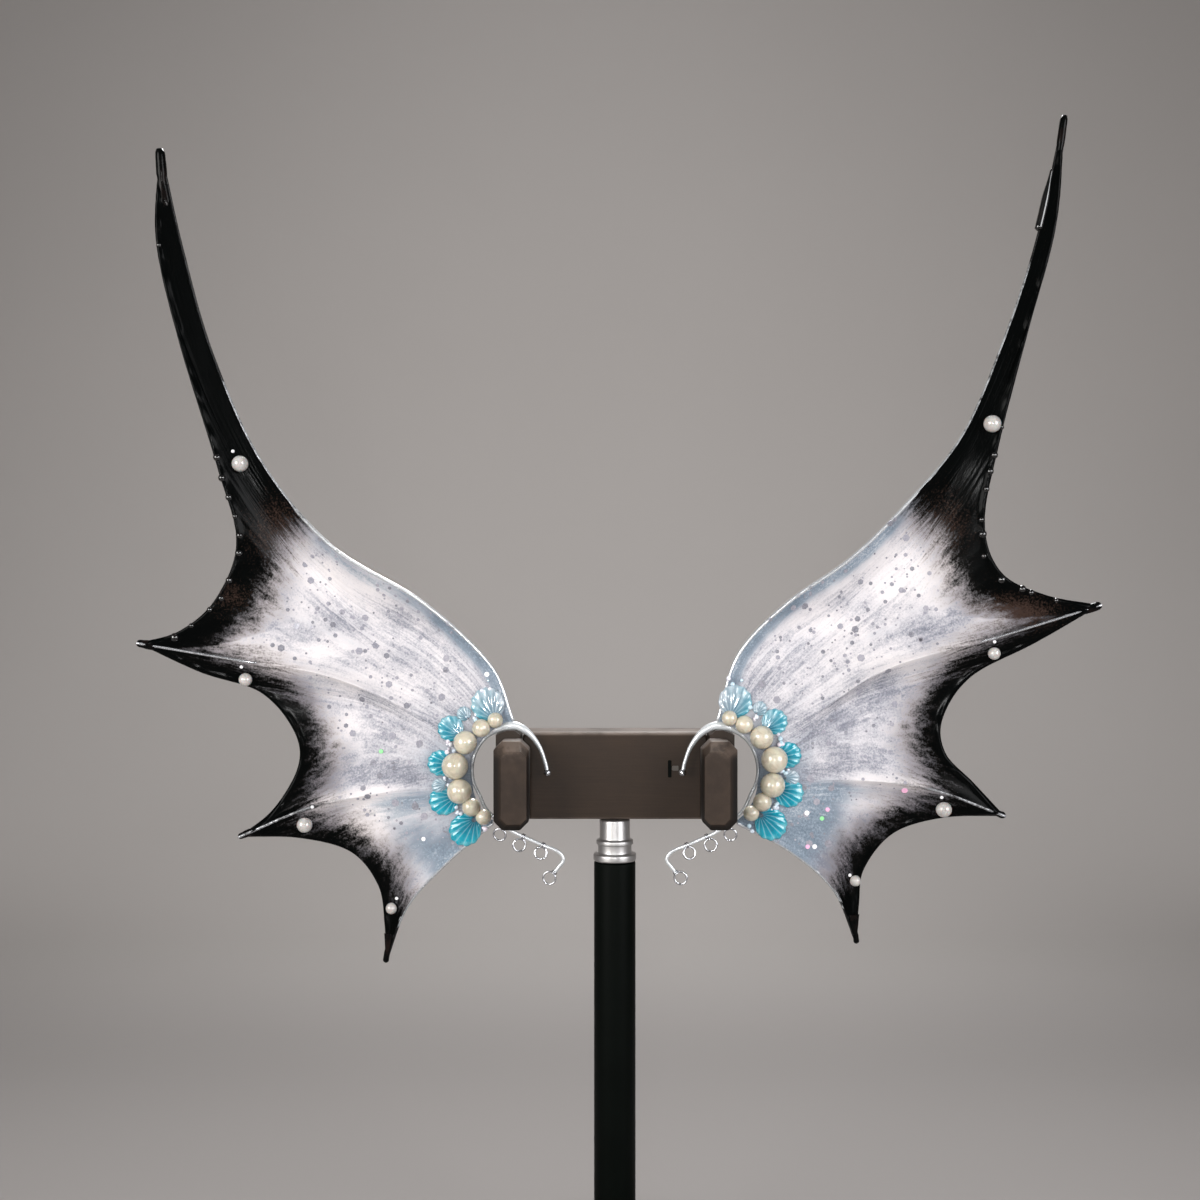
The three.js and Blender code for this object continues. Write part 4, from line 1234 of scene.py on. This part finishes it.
def glitter(fin, rng):
    """Grey hexagonal flakes scattered over the painted middle of the film."""
    black = fin.paint()["black"].reshape(fin.shape)
    build = Build()
    for count, least, most in GLITTER:
        while count:
            place = rng.uniform(*GLITTER_AREA.out), rng.uniform(*GLITTER_AREA.up)
            cell = fin.cell(place)
            near = np.linalg.norm(fin.flat[cell] - place) < GLITTER_AREA.off_grid
            if not near or black[cell] > -GLITTER_AREA.off_black:
                continue
            if np.hypot(*place) < GLITTER_AREA.off_cuff:
                continue
            size = rng.uniform(least, most)
            turn = rng.uniform(0, 1)
            flake = disc(*fin.seat(cell), size, FLAKE.thickness, FLAKE.sides, turn)
            build.add(*flake, tone=rng.uniform())
            count -= 1
    fin.made(build, "glitter", "glitter", slot="fin_film", sharp=40)


def sparkles(fin, rng):
    """Foil dots near the cuff, and one tiny bead beside most of the spikes' pearls."""
    build = Build()
    for out, up, tone in fin.spec["sparkles"]:
        seat, facing = fin.seat(fin.cell((out, up)))
        dot = disc(seat, facing, rng.uniform(*FOIL.radius), FOIL.thickness, FOIL.sides, 0.0)
        build.add(*dot, tone=SPARKLE_TONES[tone])
    for place in fin.spec["micro"]:
        seat, facing = fin.seat(fin.cell(place))
        centre = seat + facing * MICROBEAD.lift
        bead = globe(centre, MICROBEAD.radius, facing, MICROBEAD.back, SMALL_GRID)
        build.add(*bead, tone=SPARKLE_TONES["white"])
    fin.made(build, "sparkles", "sparkles", slot="pearl_white", sharp=60)


def ears():
    for side in SIDES:
        fin = Fin(side)
        for make in (
                film, tip_sleeves, resin_drops, border_wires, rib_wires, ear_wire, cuff_pearls,
                spike_pearls, shells):
            make(fin)
        rng = np.random.default_rng(fin.seed("scatter"))
        for scatter in (clear_beads, glitter, sparkles):
            scatter(fin, rng)


# The stand

def sized(node):
    """The low and high corners of a CAD node's box, in millimetres."""
    return (np.array(corner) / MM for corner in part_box(node))


def moulded(node, look, face, depth, back, cuts, ease, slot=None):
    """A slab whose face is set in from its left, right, bottom and top, and its back from all sides."""
    low, high = sized(node)
    flush = (0, 0, 0, 0)
    rings = []
    for y, insets, cut in (
            (low[1], face, cuts[0]), (low[1] + depth, flush, cuts[1]),
            (high[1] - back, flush, cuts[1]), (high[1], (back,) * 4, cuts[2])):
        left, right, bottom, top = insets
        rings.append((y, low[0] + left, high[0] - right, low[2] + bottom, high[2] - top, cut))
    Build().add(*slab(rings)).made(f"{node}_moulded", look, [node], slot, sharp=35, ease=ease)


def pad(side):
    """A grip pad whose front face is framed by broad chamfers, broadest at the top and outside."""
    face = PAD_FACE
    across = (face.inner, face.outer)
    insets = (*across[::SIDES[side]], face.bottom, face.top)
    cuts = (face.cut, PAD.cut, PAD.back_cut)
    name = f"{side}_clamp_pad"
    moulded(name, "pad_rubber", insets, face.depth, PAD.back, cuts, PAD.ease)


def arm(side):
    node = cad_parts[f"{side}_clamp_arm"]
    node.data.materials.clear()
    node.data.materials.append(LOOKS["clamp_brown"])
    bevel = node.modifiers.new("eased", "BEVEL")
    bevel.width = ARM_BEVEL.width * MM
    bevel.segments = ARM_BEVEL.segments


def plate():
    """The plate, with a dark strip on its face and a grey block beside it, a painted shadow and a painted
    reflection of the right hook's ball end.
    """
    edge, cuts = PLATE.chamfer, (PLATE.cut,) * 3
    moulded("clamp_plate", "plate_brown", (edge,) * 4, edge, edge, cuts, PLATE.ease, "clamp_brown")
    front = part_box("clamp_plate")[0][1] / MM
    # A painted shadow and a painted reflection of the right hook's ball end, on the plate's face
    for name, look, slot, *sides, proud in PLATE_PAINTED_LIGHT:
        rings = [(y, *sides, PLATE_PAINTED_LIGHT_CUT) for y in (front + PLATE_PAINTED_LIGHT_SUNK, front - proud)]
        Build().add(*slab(rings)).made(name, look, slot=slot, sharp=40)


def turned_piece(node, name, corners, ease, look):
    Build().add(*turned(eased(corners, ease))).made(name, look, [node], sharp=35)


def pole():
    """The base, the pole and the neck, turned about one axis."""
    (*_, foot), (radius, _, top) = sized("base")
    turned_piece("base", "base_disc", [
        (0, foot), (radius - BASE.foot, foot), (radius, foot + BASE.foot),
        (radius, top - BASE.rim), (radius - BASE.rim, top), (0, top)], BASE.ease, "stand_black")
    (*_, foot), (radius, _, top) = sized("pole")
    corners = [(0, foot), (radius, foot), (radius, top), (0, top)]
    turned_piece("pole", "pole_tube", corners, POLE_EASE, "stand_black")
    (*_, level), (*_, top) = sized("neck")
    corners = [(0, level)]
    for radius, height in COLLAR:
        corners += [(radius, level), (radius, level + height)]
        level += height
    corners += [(NECK_RADIUS, level), (NECK_RADIUS, top), (0, top)]
    turned_piece("neck", "neck_turned", corners, POLE_EASE, "neck_silver")


def stand():
    for side in SIDES:
        pad(side)
        arm(side)
    plate()
    pole()


# Stage, light and camera

def stage():
    """A pale floor that sweeps up into a wall behind the object."""
    half, bend, radius = SWEEP.half, SWEEP.bend, SWEEP.radius
    profile = [(-half, 0.0), (bend, 0.0)]
    for i in range(1, SWEEP.steps + 1):
        turn = math.pi / 2 * i / SWEEP.steps
        profile.append((bend + radius * math.sin(turn), radius * (1 - math.cos(turn))))
    profile.append((bend + radius, SWEEP.top))
    points = [(x, y, z - SWEEP.drop) for x in (-half, half) for y, z in profile]
    mesh = bpy.data.meshes.new("sweep")
    mesh.from_pydata(points, [], woven(np.arange(len(points)).reshape(2, -1)))
    mesh.shade_smooth()
    mesh.materials.append(stage_look())
    sweep = bpy.data.objects.new("sweep", mesh)
    bpy.context.scene.collection.objects.link(sweep)


def lamp(name, place, target, size, power, tone, spread):
    data = bpy.data.lights.new(name, "AREA")
    data.shape = "DISK"
    data.size = size
    data.energy = power
    data.color = colour(*tone)[:3]
    data.spread = math.radians(spread)
    light = bpy.data.objects.new(name, data)
    light.location = place
    light.rotation_euler = (Vector(target) - Vector(place)).to_track_quat("-Z", "Y").to_euler()
    bpy.context.scene.collection.objects.link(light)


def studio():
    for name, settings in LAMPS.items():
        lamp(name, *settings)
    for i, (x, y) in enumerate(FLOOR_LAMPS, 1):
        lamp(
            f"floor_{i}", (x, y, FLOOR_LAMP.height), (x, y, 0), FLOOR_LAMP.size, FLOOR_LAMP.power,
            WHITE, FLOOR_LAMP.spread)
    world = bpy.data.worlds.new("studio")
    world.use_nodes = True
    background = world.node_tree.nodes["Background"]
    background.inputs["Color"].default_value = colour(*WORLD.tone)
    background.inputs["Strength"].default_value = WORLD.strength
    bpy.context.scene.world = world
    bpy.context.scene.view_settings.view_transform = "Standard"


def camera():
    data = bpy.data.cameras.new("camera")
    data.lens = CAMERA.lens
    data.sensor_width = CAMERA.sensor
    view = bpy.data.objects.new("camera", data)
    view.location = CAMERA.place
    view.rotation_euler = (math.pi / 2, 0, 0)
    bpy.context.scene.collection.objects.link(view)
    bpy.context.scene.camera = view


ears()
stand()
stage()
studio()
camera()
